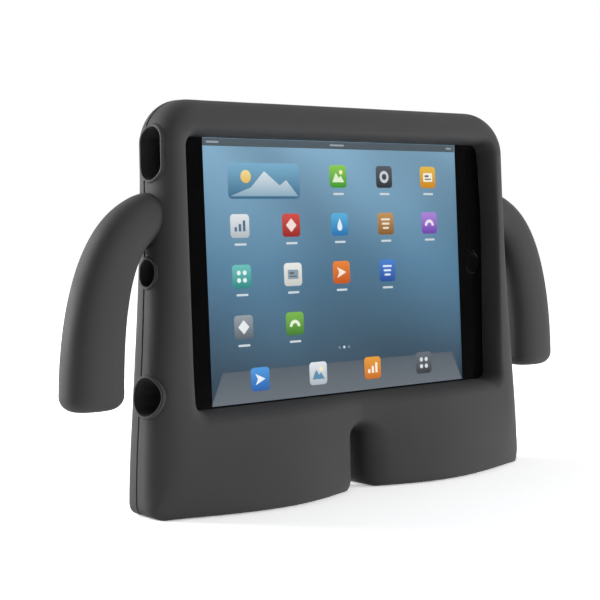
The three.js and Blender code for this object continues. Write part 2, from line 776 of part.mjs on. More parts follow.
const sealSections = (grow) => [[GLASS_BACK - grow, 0], [GLASS_BACK + SEAL.thickness + grow, 0]];
place(tablet, 'glass_seal_frame', 'rubber', cut(
  plate(2 * SEATED.x, 2 * SEATED.z, GLASS_RADIUS, sealSections(0)),
  plate(2 * (SEATED.x - SEAL.width), 2 * (SEATED.z - SEAL.width), GLASS_RADIUS - SEAL.width, sealSections(1)),
));

const DISPLAY_BACK = GLASS_BACK + DISPLAY.thickness;
place(tablet, 'display_panel', 'panel', box(
  [-DISPLAY.width / 2, DISPLAY.width / 2],
  [GLASS_BACK, DISPLAY_BACK],
  [-DISPLAY.height / 2, DISPLAY.height / 2],
));

// Home button: a cap and stem over a dome switch on a bracket that stands on the shell's floor

const HOME_CAP_BACK = HOME_BUTTON.recess + HOME_BUTTON.thickness;
const HOME_STEM_END = HOME_CAP_BACK + 0.7;
const HOME_SWITCH = { radius: 2.5, thickness: 0.7 };
const SWITCH_FRONT = HOME_STEM_END + HOME_BUTTON.travel + 0.05;
const SWITCH_BACK = SWITCH_FRONT + HOME_SWITCH.thickness;
const BRACKET = { inner: 5.2, outer: 1.8, halfLength: 12, leg: 2, thickness: 0.6 };
const homeAt = { x: PLACES.homeButtonX };

place(tablet, 'home_button', 'button', joined(
  bar('y', HOME_BUTTON.radius, HOME_BUTTON.recess, HOME_CAP_BACK, homeAt, 32),
  bar('y', HOME_BUTTON.stemRadius, HOME_CAP_BACK - 0.2, HOME_STEM_END, homeAt, 12),
));
place(tablet, 'home_button_switch', 'steel', bar(
  'y',
  HOME_SWITCH.radius,
  SWITCH_FRONT,
  SWITCH_BACK,
  { x: PLACES.homeButtonX - 1 },
  16,
));
const bracketX = [PLACES.homeButtonX - BRACKET.inner, PLACES.homeButtonX + BRACKET.outer];
const bracketFront = SWITCH_BACK + SEAT_GAP;
const bracketLeg = (side) => box(bracketX, [bracketFront, SEATED.floor], side < 0
  ? [-BRACKET.halfLength, -BRACKET.halfLength + BRACKET.leg]
  : [BRACKET.halfLength - BRACKET.leg, BRACKET.halfLength]);
place(tablet, 'home_button_bracket', 'steel', joined(
  box(bracketX, [bracketFront, bracketFront + BRACKET.thickness], [-BRACKET.halfLength, BRACKET.halfLength]),
  bracketLeg(-1),
  bracketLeg(1),
));

// Edge buttons: a cap in the shell's slot with a flange inside that keeps it in

const FLANGE_GAP = 0.5;
const SWITCH_GAP = 0.1;

function edgeButton(axis, sign, edge, inside, proud, halfLength, centre) {
  const between = (a, b) => [Math.min(sign * a, sign * b), Math.max(sign * a, sign * b)];
  const flangeOut = inside - FLANGE_GAP;
  const cap = between(edge + proud, flangeOut - 0.1);
  const flange = between(flangeOut, flangeOut - FLANGE.thickness);
  const reach = halfLength + FLANGE.overhang;
  const depth = [MIDDLE - FLANGE.towardsGlass, MIDDLE + FLANGE.towardsBack];
  const spread = axis === 'x'
    ? [flange, depth, [centre.z - reach, centre.z + reach]]
    : [[centre.x - reach, centre.x + reach], depth, flange];
  return joined(
    stadiumBar(axis, halfLength, SIDE_BUTTON.halfWidth, ...cap, { ...centre, y: MIDDLE }),
    box(...spread),
  );
}

place(tablet, 'sleep_button', 'button', edgeButton(
  'x',
  -1,
  HALF.width,
  INSIDE.x,
  SIDE_BUTTON.proud,
  SIDE_BUTTON.halfLength,
  { z: PLACES.sleepAlong },
));
for (const [name, x] of [['volume_up_button', PLACES.volumeUpX], ['volume_down_button', PLACES.volumeDownX]]) {
  place(tablet, name, 'button', edgeButton(
    'z',
    1,
    HALF.height,
    INSIDE.z,
    TOP_BUTTON.proud,
    TOP_BUTTON.halfLength,
    { x },
  ));
}
place(tablet, 'mute_switch', 'button', edgeButton(
  'z',
  1,
  HALF.height,
  INSIDE.z,
  MUTE.proud,
  MUTE.halfLength,
  { x: PLACES.muteX },
));

const boardDepth = [SEAL_BACK, SEATED.floor];
const sideBoardX = -(INSIDE.x - FLANGE_GAP - FLANGE.thickness - SIDE_BUTTON.travel - SWITCH_GAP);
place(tablet, 'side_button_board', 'board', box(
  [sideBoardX, sideBoardX + BOARD_THICKNESS],
  boardDepth,
  [PLACES.sleepAlong - BOARD_REACH.besideSleep, PLACES.sleepAlong + BOARD_REACH.besideSleep],
));
const topBoardZ = INSIDE.z - FLANGE_GAP - FLANGE.thickness - TOP_BUTTON.travel - SWITCH_GAP;
place(tablet, 'volume_button_board', 'board', box(
  [PLACES.muteX - BOARD_REACH.beforeMute, PLACES.volumeDownX + BOARD_REACH.pastVolume],
  boardDepth,
  [topBoardZ - BOARD_THICKNESS, topBoardZ],
));

// Cameras

const cameraHalf = REAR_CAMERA.size / 2;
const cameraAt = { x: PLACES.rearCameraX, z: PLACES.rearCameraAlong };
const ringFront = SEATED.floor + SEAT_GAP;
const ringBack = TABLET.thickness + REAR_CAMERA.proud;
place(tablet, 'rear_camera_module', 'board', box(
  [cameraAt.x - cameraHalf, cameraAt.x + cameraHalf],
  boardDepth,
  [cameraAt.z - cameraHalf, cameraAt.z + cameraHalf],
));
place(tablet, 'rear_camera_ring', 'steel', cut(
  bar('y', REAR_CAMERA.ringRadius, ringFront, ringBack, cameraAt),
  bar('y', REAR_CAMERA.ringRadius - REAR_CAMERA.ringWall, ringFront - 1, ringBack + 1, cameraAt),
));
place(tablet, 'rear_camera_lens', 'lens', bar(
  'y',
  REAR_CAMERA.lensRadius,
  ringFront,
  TABLET.thickness - 0.2,
  cameraAt,
));
const FRONT_CAMERA = { half: 3, depth: 3.4 };
place(tablet, 'front_camera_module', 'board', box(
  [PLACES.frontCameraX - FRONT_CAMERA.half, PLACES.frontCameraX + FRONT_CAMERA.half],
  [GLASS_BACK, GLASS_BACK + FRONT_CAMERA.depth],
  [-FRONT_CAMERA.half, FRONT_CAMERA.half],
));

// Sockets, speakers and microphone

const SOCKET_X = SEATED.x - SHELL.fillet;
const JACK = { length: 12, halfWidth: 3, clearOfSeal: SEAL.width + SEAT_GAP };
const jackOuter = -(SEATED.x - JACK.clearOfSeal);
place(tablet, 'headphone_jack', 'button', cut(
  box(
    [jackOuter, jackOuter + JACK.length],
    [MIDDLE - HEADPHONE_RADIUS - 0.5, SEATED.floor],
    [PLACES.headphoneAlong - JACK.halfWidth, PLACES.headphoneAlong + JACK.halfWidth],
  ),
  bar('x', HEADPHONE_RADIUS, jackOuter - 1, jackOuter + JACK.length - 1.5, {
    y: MIDDLE,
    z: PLACES.headphoneAlong,
  }, 16),
));

function chargeConnector() {
  const { halfLength, halfWidth, depth, length, wall } = CONNECTOR;
  const block = box([SOCKET_X - length, SOCKET_X], boardDepth, [-halfLength - wall, halfLength + wall]);
  const slot = stadiumBar('x', halfLength, halfWidth, SOCKET_X - depth, SOCKET_X + 1, { y: MIDDLE, z: 0 });
  const tongueDepth = [MIDDLE - 0.35, MIDDLE + 0.35];
  const tongue = box([SOCKET_X - depth - 0.2, SOCKET_X - 1], tongueDepth, [-halfLength + 1.2, halfLength - 1.2]);
  return joined(cut(block, slot), tongue);
}

place(tablet, 'charge_connector', 'steel', chargeConnector());

const SPEAKER = { length: 11, halfWidth: 9 };
place(tablet, 'speaker', 'button', box(
  [SOCKET_X - SPEAKER.length, SOCKET_X],
  boardDepth,
  [PLACES.speakerAlong - SPEAKER.halfWidth, PLACES.speakerAlong + SPEAKER.halfWidth],
));
place(tablet, 'microphone', 'steel', box(
  [-SOCKET_X, -SOCKET_X + 2],
  boardDepth,
  [PLACES.microphoneAlong - 1.6, PLACES.microphoneAlong + 1.6],
));

// Battery and logic board, side by side behind the display, between the pieces at the tablet's ends

const CORE_FRONT = DISPLAY_BACK + SEAT_GAP;
const CORE_CLEAR = { left: 3.75, right: 4.65, edge: 4 };
const CORE_HALF_HEIGHT = DISPLAY.height / 2 - CORE_CLEAR.edge;
const LOGIC_BOARD = { width: 30, thickness: 1, front: CORE_FRONT + 0.7 };
const BOARD_SCREW = { headRadius: 1.4, headThickness: 0.4, shankRadius: 0.7, inset: 3 };
const boardLeft = Math.max(
  jackOuter + JACK.length,
  cameraAt.x + cameraHalf,
  PLACES.frontCameraX + FRONT_CAMERA.half,
) + CORE_CLEAR.left;
const boardRight = boardLeft + LOGIC_BOARD.width;
const boardBack = LOGIC_BOARD.front + LOGIC_BOARD.thickness;
const screwPlaces = [boardLeft + BOARD_SCREW.inset, boardRight - BOARD_SCREW.inset].flatMap((x) => (
  [-1, 1].map((side) => ({ x, z: side * (CORE_HALF_HEIGHT - BOARD_SCREW.inset) }))
));

const CHIPS = [
  { along: -30, halfLength: 9.6 },
  { along: -6, halfLength: 7.2 },
  { along: 18, halfLength: 10.4 },
  { along: 38, halfLength: 5.6 },
];
const CHIP = { inset: 6, sunk: 0.1 };
const chips = CHIPS.map(({ along, halfLength }) => box(
  [boardLeft + CHIP.inset, boardRight - CHIP.inset],
  [boardBack - CHIP.sunk, SEATED.floor],
  [along - halfLength, along + halfLength],
));
place(tablet, 'logic_board', 'board', cut(
  joined(
    box([boardLeft, boardRight], [LOGIC_BOARD.front, boardBack], [-CORE_HALF_HEIGHT, CORE_HALF_HEIGHT]),
    ...chips,
  ),
  ...screwPlaces.map((at) => (
    bar('y', BOARD_SCREW.shankRadius + SEAT_GAP, CORE_FRONT, boardBack + 1, at, 12)
  )),
));
screwPlaces.forEach((at, k) => {
  place(tablet, `board_screw_${k + 1}`, 'steel', joined(
    bar('y', BOARD_SCREW.headRadius, CORE_FRONT, CORE_FRONT + BOARD_SCREW.headThickness, at, 12),
    bar('y', BOARD_SCREW.shankRadius, CORE_FRONT + 0.2, SEATED.floor, at, 12),
  ));
});

const cellsLeft = boardRight + SEAT_GAP;
const cellsRight = Math.min(bracketX[0], SOCKET_X - SPEAKER.length) - CORE_CLEAR.right;
const cellWidth = (cellsRight - cellsLeft - SEAT_GAP) / 2;
for (const [name, k] of [['battery_cell_left', 0], ['battery_cell_right', 1]]) {
  const x = cellsLeft + k * (cellWidth + SEAT_GAP);
  const across = [x, x + cellWidth];
  place(tablet, name, 'battery', box(across, [CORE_FRONT, SEATED.floor], [-CORE_HALF_HEIGHT, CORE_HALF_HEIGHT]));
}

// Origin below the middle of the whole
object.updateMatrixWorld(true);
const bounds = new THREE.Box3().setFromObject(object);
object.position.y = -(bounds.min.y + bounds.max.y) / 2;

export default object;
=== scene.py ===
"""Looks of a moulded foam tablet case with arm handles, and of the small tablet that it holds."""
import math

import bpy
from bpy.props import FloatProperty, FloatVectorProperty, PointerProperty, StringProperty
from mathutils import Matrix, Vector


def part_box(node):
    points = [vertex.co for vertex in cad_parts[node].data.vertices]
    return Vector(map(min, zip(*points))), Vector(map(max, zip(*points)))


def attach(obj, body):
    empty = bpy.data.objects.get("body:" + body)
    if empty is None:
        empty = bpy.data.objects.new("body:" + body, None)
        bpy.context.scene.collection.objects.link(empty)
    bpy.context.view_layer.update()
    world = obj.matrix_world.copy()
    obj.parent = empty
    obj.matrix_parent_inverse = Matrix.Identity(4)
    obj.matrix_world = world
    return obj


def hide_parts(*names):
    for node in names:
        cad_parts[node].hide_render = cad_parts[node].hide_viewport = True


bl_info = {
    "name": "Moulded foam tablet case",
    "version": (1, 0, 0),
    "blender": (4, 5, 0),
    "location": "3D Viewport > Sidebar > Tablet case",
    "description": "Dresses a foam tablet case with arm handles, the tablet in it and a plain studio",
    "category": "Object",
}

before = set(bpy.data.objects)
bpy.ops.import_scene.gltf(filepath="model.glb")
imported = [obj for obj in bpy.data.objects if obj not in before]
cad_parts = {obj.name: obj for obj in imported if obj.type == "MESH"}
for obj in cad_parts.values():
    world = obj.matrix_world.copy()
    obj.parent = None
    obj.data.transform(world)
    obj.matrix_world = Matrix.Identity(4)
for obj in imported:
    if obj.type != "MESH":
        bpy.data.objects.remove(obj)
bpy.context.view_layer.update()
BODY = "case_and_tablet"
MM = 0.001
QUARTER = math.pi / 2


def metres(sizes):
    """Sizes that are written in millimetres, in metres."""
    return {key: value * MM for key, value in sizes.items()}


# The tablet's own frame: its origin is the middle of the glass front, it leans back, and a point in
# it is given as across, along (up the glass) and depth behind the glass
LEAN = math.radians(3.4)
SCREEN_MIDDLE = 105.5 * MM
PANEL_DEPTH = 1.2 * MM
PANEL_MIDDLE_DEPTH = 2.2 * MM
PANEL_LOW, PANEL_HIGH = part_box("display_panel")
GLASS_Y = (PANEL_LOW.y + PANEL_HIGH.y) / 2 - PANEL_MIDDLE_DEPTH * math.cos(LEAN)
TABLET_HALF_WIDTH = 100 * MM
TABLET_HALF_HEIGHT = 67.35 * MM
TABLET_THICKNESS = 7.2 * MM
TABLET_CORNER = 11 * MM
TABLET_MIDDLE = TABLET_THICKNESS / 2
PICTURE_HALF_WIDTH = 80.25 * MM
PICTURE_HALF_HEIGHT = 60.2 * MM

# Foam: slopes of its faces, depths of the faces before and behind the middle of the glass, and the
# rounded edges of its front and back
FRONT_DEPTH, FRONT_SLOPE = 10.6 * MM, 0.049
BACK_DEPTH, BACK_SLOPE = 15.3 * MM, 0.034
SIDE_SWEEP = 1.3
SHIN_HEIGHT = 48 * MM
TOE_MIDDLE, TOE_OUTER_SPAN, TOE_HEIGHT, TOE_POWER = 52 * MM, 62 * MM, 62 * MM, 1.5
NOTCH_SOLE_HALF_WIDTH = 3.8 * MM
FRONT_INSET = metres({
    "side_top": 8, "side_base": 17.5, "top": 11.2, "sole": 4.5, "notch": 13, "notch_top": 5.5,
})
FRONT_RADIUS = metres({"top": 10, "foot": 31, "inner": 5})
FRONT_ROUNDING = metres({"side": 12, "foot": 12, "sole": 5, "notch": 8})
BACK_INSET = metres({"side_top": 9, "side_base": 8, "top": 9, "sole": 4, "notch": 5, "notch_top": 5})
BACK_RADIUS = metres({"top": 13, "foot": 5, "inner": 5})
BACK_ROUNDING = metres({"side": 8, "foot": 6, "sole": 4, "notch": 5})
NO_INSET = dict.fromkeys(FRONT_INSET, 0)

# The parting seam lies a little behind the tablet's middle, more so at the feet. Its section is
# given across and down, in parts of its half width and of its depth
SEAM_SHIFT = metres({"top": 1.3, "foot": 3.8, "below": 75})
SEAM_SECTION = ((1.5, 0), (1, 0.2), (0.5, 1), (-0.5, 1), (-1, 0.2), (-1.5, 0))

# How the skin is divided: each run of an outline, the roundings, and the face between them
RUN_STEPS = (14, 5, 10, 26, 16, 8, 26, 20, 18)
BACK_STEPS, FRONT_STEPS, FACE_STEPS, LIP_STEPS = 10, 16, 10, 12
TANGENT_STEP = 1e-4
LEAST_FACES = 1000

# Window: the contact with the glass at each side, and the lip around it. The lines that come from
# the notch reach it as a fan, and a share of its side faces the shins
CONTACT = {
    1: metres({"half_width": 95.5, "bow": 2, "top": 60.3, "bottom": -60.8, "radius": 5}),
    -1: metres({"half_width": 93, "bow": 0, "top": 60.3, "bottom": -60.8, "radius": 5}),
}
LIP = metres({-1: 7, 1: 4.5, "top": 4.5, "bottom": 6, "radius": 9})
FAN_STEP = 1.5 * MM
SHIN_SHARE = 0.08

# The tablet's pocket: its play, and depth behind the glass and inset, in millimetres
SEAT_GAP = 0.3 * MM
POCKET = ((-0.3, 0), (4.5, 0), (6.6, 0.9), (7.5, 3))

# Ports: side, place along the glass, half length, half width, and how far before the middle of the
# tablet's thickness, in millimetres
SIDE_PORTS = (
    (-1, 52.5, 11.6, 6.4, 3.2),
    (-1, 0.7, 6, 5.1, 1.1),
    (-1, -52.75, 8.3, 8.2, 2.3),
    (1, 0, 9.2, 5.8, 0),
    (1, -23, 8, 3.8, 0),
)
RIM_RADIUS, RIM_STAND_OFF, RIM_SINK, RIM_SIDES = 1 * MM, 0.5 * MM, 0.4 * MM, 14
BORE_START = TABLET_HALF_WIDTH - 2 * MM
# Across, half length and half width, and then rise over the top edge and growth, in millimetres
VOLUME_PORT = (-65, 19.5, 4.4)
VOLUME_MOUTH = ((-11, 0), (-1.2, 0), (-0.7, 0.15), (-0.3, 0.45), (0, 0.9), (4, 6))
# Across, along and radius, and then growth at twice the foam's thickness, in millimetres
CAMERA_PORT = (-90.8, 57.75, 5.6)
CAMERA_FLARE = 7

# Arms: each leaves the wall level, turns down and ends in a blunt hand. The pulls bend its middle
# line, and across and deep are halves of its section
ARM = metres({
    "root_height": 131.5, "root_inset": 8, "root_pull": 25, "hand_height": 48.4, "hand_pull": 52,
    "root_across": 9.4, "root_deep": 9.6, "hand_across": 14.3, "hand_deep": 11.2,
    "flare": 0.4, "flare_length": 4, "end_radius": 6.5, "plane": 5.2,
})
ARM_SQUARENESS, ARM_SLOPE = 2.3, 0.013
ARM_SAMPLES, ARM_RINGS, ARM_CORNERS, HAND_RINGS = 400, 60, 72, 12

# Home button: reach from its axis and depth behind the glass, in millimetres
HOME_PROFILE = (
    (1.5, 0.71), (3, 0.58), (4.2, 0.4), (4.9, 0.25), (5.3, 0.14), (5.55, 0.1), (5.7, 0.14),
    (5.75, 0.25), (5.75, 1.4), (5.65, 1.5), (1.6, 1.5), (1.5, 1.6), (1.5, 2.15), (1.35, 2.2),
)
ROUND_SIDES = 64

# Studio: the room's light on the case, the floor's glow near the case and away from it (weaker near the
# case, a painted shade that deepens the real shadow round the feet), and the places and sizes of cards
# and softboxes
ROOM_LIGHT = 0.15
FLOOR_GLOW_AND_SHADE = {"near": 0.28, "far": 0.68, "from": 0.2, "to": 1.6}
FLOOR_SIZE, FLOOR_DROP, FLOOR_TONE, FLOOR_TONE_SEEN = 30, 0.0002, 0.8, 1.6
DARK_CARDS = (
    ("right_card", (0.4, -0.48, 0.25), (0.9, 0.7)),
    ("camera_card", (-0.85, -1.15, 0.75), (2.2, 1.8)),
)
RIM_SOFTBOX = ((-0.77, 1.0, 0.45), (0.5, 0.8))
FRONT_SOFTBOX = ((0.93, -1.11, 0.3), (0.9, 0.56))
LAMP_AIM, CARD_AIM = Vector((0, 0, 0.09)), Vector((0, 0, 0.1))


def length(name, description, default):
    return FloatProperty(name=name, description=description, default=default, unit="LENGTH")


def colour(name, description, default):
    return StringProperty(name=name, description=f"{description}, sRGB hex", default=default)


def power(name, description, default):
    return FloatProperty(name=name, description=description, default=default, subtype="POWER")


class CaseSizes(bpy.types.PropertyGroup):
    """Sizes of the foam moulding"""

    height: length("Height", "Ground to the top edge", 0.182)
    top_half_width: length("Top half width", "Middle to the side at the top", 0.1082)
    base_half_width: length("Base half width", "Middle to the side at the ground", 0.1177)
    top_corner: length("Top corner", "Radius of the upper corners", 0.021)
    foot_corner: length("Foot corner", "Radius of the feet's outer corners", 0.0055)
    inner_corner: length("Inner foot corner", "Radius of the corners at the notch", 0.006)
    notch_half_width: length("Notch half width", "Half the slit between the feet", 0.0032)
    notch_height: length("Notch height", "Ground to the top of the slit", 0.0295)
    toe_bulge: length("Toe bulge", "How far the feet swell forward", 0.0115)
    seam_half_width: length("Seam half width", "Half width of the parting groove", 0.00035)
    seam_depth: length("Seam depth", "Depth of the parting groove", 0.0008)
    finger_gap: length("Finger gap", "Gap between a hand and the wall", 0.0085)


class FinishColours(bpy.types.PropertyGroup):
    """Colours of the foam, the tablet and its picture"""

    foam: colour("Foam", "Moulded foam", "#434344")
    border: colour("Border", "Print behind the glass", "#060607")
    shell: colour("Shell", "Anodised shell", "#33353a")
    picture_top: colour("Picture top", "Upper wallpaper", "#86aec8")
    picture_middle: colour("Picture middle", "Middle of the wallpaper", "#57809c")
    picture_foot: colour("Picture foot", "Lower wallpaper", "#2b3c4a")


class StudioSettings(bpy.types.PropertyGroup):
    """Camera and lamps"""

    camera_place: FloatVectorProperty(
        name="Camera place", description="Where the camera stands", size=3,
        default=(-0.46668, -0.52236, 0.13923), subtype="TRANSLATION")
    camera_turn: FloatProperty(
        name="Camera turn", description="Heading of the view", default=math.radians(-39.872),
        subtype="ANGLE")
    camera_dip: FloatProperty(
        name="Camera dip", description="How far the view looks down", default=math.radians(4.032),
        subtype="ANGLE")
    lens: FloatProperty(name="Lens", description="Focal length in millimetres", default=88.02)
    side_lamp: power("Side lamp", "Softbox behind, at the left", 22.0)
    front_lamp: power("Front lamp", "Softbox in front, at the right", 24.0)
    top_lamp: FloatProperty(name="Overhead light", description="Even light from above", default=0.3)


# Small helpers


def select_only(*objects):
    bpy.ops.object.select_all(action="DESELECT")
    for each in objects:
        each.select_set(True)
    bpy.context.view_layer.objects.active = objects[-1]


def edit_mesh(piece, *steps):
    """Runs mesh operators, each on all of the piece."""
    select_only(piece)
    bpy.ops.object.mode_set(mode="EDIT")
    for operator, options in steps:
        bpy.ops.mesh.select_all(action="SELECT")
        operator(**options)
    bpy.ops.object.mode_set(mode="OBJECT")


def mesh_piece(name, points, faces):
    """A new object at the origin from points and faces, with its faces turned outwards."""
    mesh = bpy.data.meshes.new(name)
    mesh.from_pydata([tuple(p) for p in points], [], faces)
    piece = bpy.data.objects.new(name, mesh)
    bpy.context.collection.objects.link(piece)
    edit_mesh(piece, (bpy.ops.mesh.normals_make_consistent, {"inside": False}))
    return piece


def loft(name, rings, closed_on_itself=False):
    """A closed skin through rings that have as many points each."""
    count = len(rings[0])
    faces = []
    spans = len(rings) if closed_on_itself else len(rings) - 1
    for r in range(spans):
        near, far = r * count, ((r + 1) % len(rings)) * count
        for i in range(count):
            j = (i + 1) % count
            faces.append((near + i, near + j, far + j, far + i))
    if not closed_on_itself:
        last = (len(rings) - 1) * count
        faces.append(tuple(range(count)))
        faces.append(tuple(range(last, last + count)))
    return mesh_piece(name, [p for ring in rings for p in ring], faces)


def apply_modifiers(piece):
    select_only(piece)
    for modifier in list(piece.modifiers):
        bpy.ops.object.modifier_apply(modifier=modifier.name)


def combine(piece, others, operation):
    """Joins or cuts the piece with the other objects, which are used up."""
    for other in others:
        modifier = piece.modifiers.new(operation.lower(), "BOOLEAN")
        modifier.operation = operation
        modifier.solver = "MANIFOLD"
        modifier.object = other
    apply_modifiers(piece)
    for other in others:
        bpy.data.objects.remove(other)


def smooth(piece, angle=35):
    select_only(piece)
    bpy.ops.object.shade_smooth_by_angle(angle=math.radians(angle))


def ready(piece, slot, *materials, body=BODY):
    """Gives a finished piece its materials and its body."""
    piece.data.materials.clear()
    for material in materials:
        piece.data.materials.append(material)
    for face in piece.data.polygons:
        face.material_index = 0
    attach(piece, body)


def leaned(across, along, depth):
    """A point of the tablet's frame in the row frame, all in metres."""
    return Vector((
        across,
        GLASS_Y + along * math.sin(LEAN) + depth * math.cos(LEAN),
        SCREEN_MIDDLE + along * math.cos(LEAN) - depth * math.sin(LEAN),
    ))


def mix(a, b, share):
    return a + (b - a) * share


def eased(share):
    """Slow at both ends, from none to one."""
    return share * share * (3 - 2 * share)


def circle(radius, sides=ROUND_SIDES):
    angles = [math.tau * k / sides for k in range(sides)]
    return [(radius * math.cos(angle), radius * math.sin(angle)) for angle in angles]


# Form of the case, in metres, with y counted from the middle of the glass


def front_face(x, z, bulge):
    off = abs(x) - TOE_MIDDLE

    def swell(distance, span):
        return (1 - min(abs(distance) / span, 1) ** 2) ** TOE_POWER

    across = swell(off, TOE_OUTER_SPAN if off > 0 else TOE_MIDDLE)
    return -FRONT_DEPTH + FRONT_SLOPE * (z - SCREEN_MIDDLE) - bulge * across * swell(z, TOE_HEIGHT)


def back_face(z):
    return BACK_DEPTH + BACK_SLOPE * (z - SCREEN_MIDDLE)


def seam_plane(z):
    low = min(max(1 - z / SEAM_SHIFT["below"], 0), 1)
    shift = mix(SEAM_SHIFT["top"], SEAM_SHIFT["foot"], eased(low))
    return TABLET_MIDDLE + shift + math.tan(LEAN) * (z - SCREEN_MIDDLE)


def side_width(z, top_half, base_half, height):
    share = min(max(height - z, 0) / height, 1) ** SIDE_SWEEP
    return mix(top_half, base_half, eased(share))


class Side:
    """A side of an outline, which sweeps outwards towards the ground."""

    def __init__(self, top_half, base_half, height):
        self.at = lambda z: side_width(z, top_half, base_half, height)

    def angle(self, z):
        return math.atan((self.at(z - 0.5 * MM) - self.at(z + 0.5 * MM)) / MM)

    def corner(self, z, radius):
        touch = z + radius * math.sin(self.angle(z))
        return self.at(touch) - radius * math.cos(self.angle(z)), z

    def stretch(self, low, high):
        return lambda t: (self.at(mix(low, high, t)), mix(low, high, t))


def arc(centre, radius, start, end):
    def at(t):
        angle = mix(start, end, t)
        return centre[0] + radius * math.cos(angle), centre[1] + radius * math.sin(angle)
    return at


def straight(x0, z0, x1, z1):
    return lambda t: (mix(x0, x1, t), mix(z0, z1, t))


def window_runs(half_width, bow, top, bottom, radius, fan):
    """Half of a window outline, in as many runs as the case's own outline has. The fan holds where
    the runs that face the notch end."""
    low, high = bottom + radius, top - radius

    def edge(t):
        return half_width + 4 * bow * t * (1 - t), mix(low, high, t)

    return (
        straight(0, bottom, fan[0], bottom),
        straight(fan[0], bottom, fan[1], bottom),
        straight(fan[1], bottom, fan[2], bottom),
        straight(fan[2], bottom, half_width - radius, bottom),
        arc((half_width - radius, low), radius, -QUARTER, 0),
        lambda t: edge(SHIN_SHARE * t),
        lambda t: edge(mix(SHIN_SHARE, 1, t)),
        arc((half_width - radius, high), radius, 0, QUARTER),
        straight(half_width - radius, top, 0, top),
    )


def outline_runs(sizes, inset, radius):
    """Half of the case's outline, or of a face inside it, from the notch round to the top."""
    side = Side(
        sizes.top_half_width - inset["side_top"],
        sizes.base_half_width - inset["side_base"],
        sizes.height,
    )
    top = sizes.height - inset["top"]
    top_corner = side.corner(top - radius["top"], radius["top"])
    foot_corner = side.corner(inset["sole"] + radius["foot"], radius["foot"])
    inner_corner = (
        NOTCH_SOLE_HALF_WIDTH + inset["notch"] + radius["inner"],
        inset["sole"] + radius["inner"],
    )
    notch_radius = sizes.notch_half_width + inset["notch"]
    notch_z = sizes.notch_height + inset["notch_top"] - notch_radius
    foot_angle, top_angle = side.angle(foot_corner[1]), side.angle(top_corner[1])
    foot_end = foot_corner[1] + radius["foot"] * math.sin(foot_angle)
    top_end = top_corner[1] + radius["top"] * math.sin(top_angle)
    return (
        arc((0, notch_z), notch_radius, QUARTER, 0),
        straight(notch_radius, notch_z, inner_corner[0] - radius["inner"], inner_corner[1]),
        arc(inner_corner, radius["inner"], 2 * QUARTER, 3 * QUARTER),
        straight(inner_corner[0], inset["sole"], foot_corner[0], inset["sole"]),
        arc(foot_corner, radius["foot"], -QUARTER, foot_angle),
        side.stretch(foot_end, SHIN_HEIGHT),
        side.stretch(SHIN_HEIGHT, top_end),
        arc(top_corner, radius["top"], top_angle, QUARTER),
        straight(top_corner[0], top, 0, top),
    )


def rounding_depths(rounding):
    """The depth of an edge's rounding at both ends of each run."""
    side, foot, sole, notch = (rounding[key] for key in ("side", "foot", "sole", "notch"))
    return (
        (notch, notch), (notch, notch), (notch, sole), (sole, sole), (sole, foot), (foot, side),
        (side, side), (side, side), (side, side),
    )


def stations(sizes):
    """Places round the case, each with its point on every outline."""
    beside_notch = sizes.notch_half_width + FRONT_INSET["notch"]
    fan = (beside_notch, beside_notch + FAN_STEP, beside_notch + FAN_STEP + sizes.inner_corner)
    outer_radius = {"top": sizes.top_corner, "foot": sizes.foot_corner, "inner": sizes.inner_corner}
    front_depths, back_depths = rounding_depths(FRONT_ROUNDING), rounding_depths(BACK_ROUNDING)
    halves = []
    for side, contact in CONTACT.items():
        outlines = {
            "outer": outline_runs(sizes, NO_INSET, outer_radius),
            "front": outline_runs(sizes, FRONT_INSET, FRONT_RADIUS),
            "back": outline_runs(sizes, BACK_INSET, BACK_RADIUS),
            "lip": window_runs(
                contact["half_width"] + LIP[side],
                0,
                SCREEN_MIDDLE + contact["top"] + LIP["top"],
                SCREEN_MIDDLE + contact["bottom"] - LIP["bottom"],
                LIP["radius"],
                fan,
            ),
            "glass": window_runs(fan=fan, **contact),
        }
        half = []
        for run, steps in enumerate(RUN_STEPS):
            for step in range(0 if run == 0 else 1, steps + 1):
                t = step / steps
                place = {name: Vector(runs[run](t)) for name, runs in outlines.items()}
                for point in place.values():
                    point.x *= side
                ahead = Vector(outlines["outer"][run](min(t + TANGENT_STEP, 1)))
                behind = Vector(outlines["outer"][run](max(t - TANGENT_STEP, 0)))
                tangent = (ahead - behind).normalized()
                place["outward"] = Vector((side * tangent.y, -tangent.x))
                place["front_depth"] = mix(*front_depths[run], t)
                place["back_depth"] = mix(*back_depths[run], t)
                half.append(place)
        halves.append(half)
    return halves[0] + halves[1][::-1][1:-1]


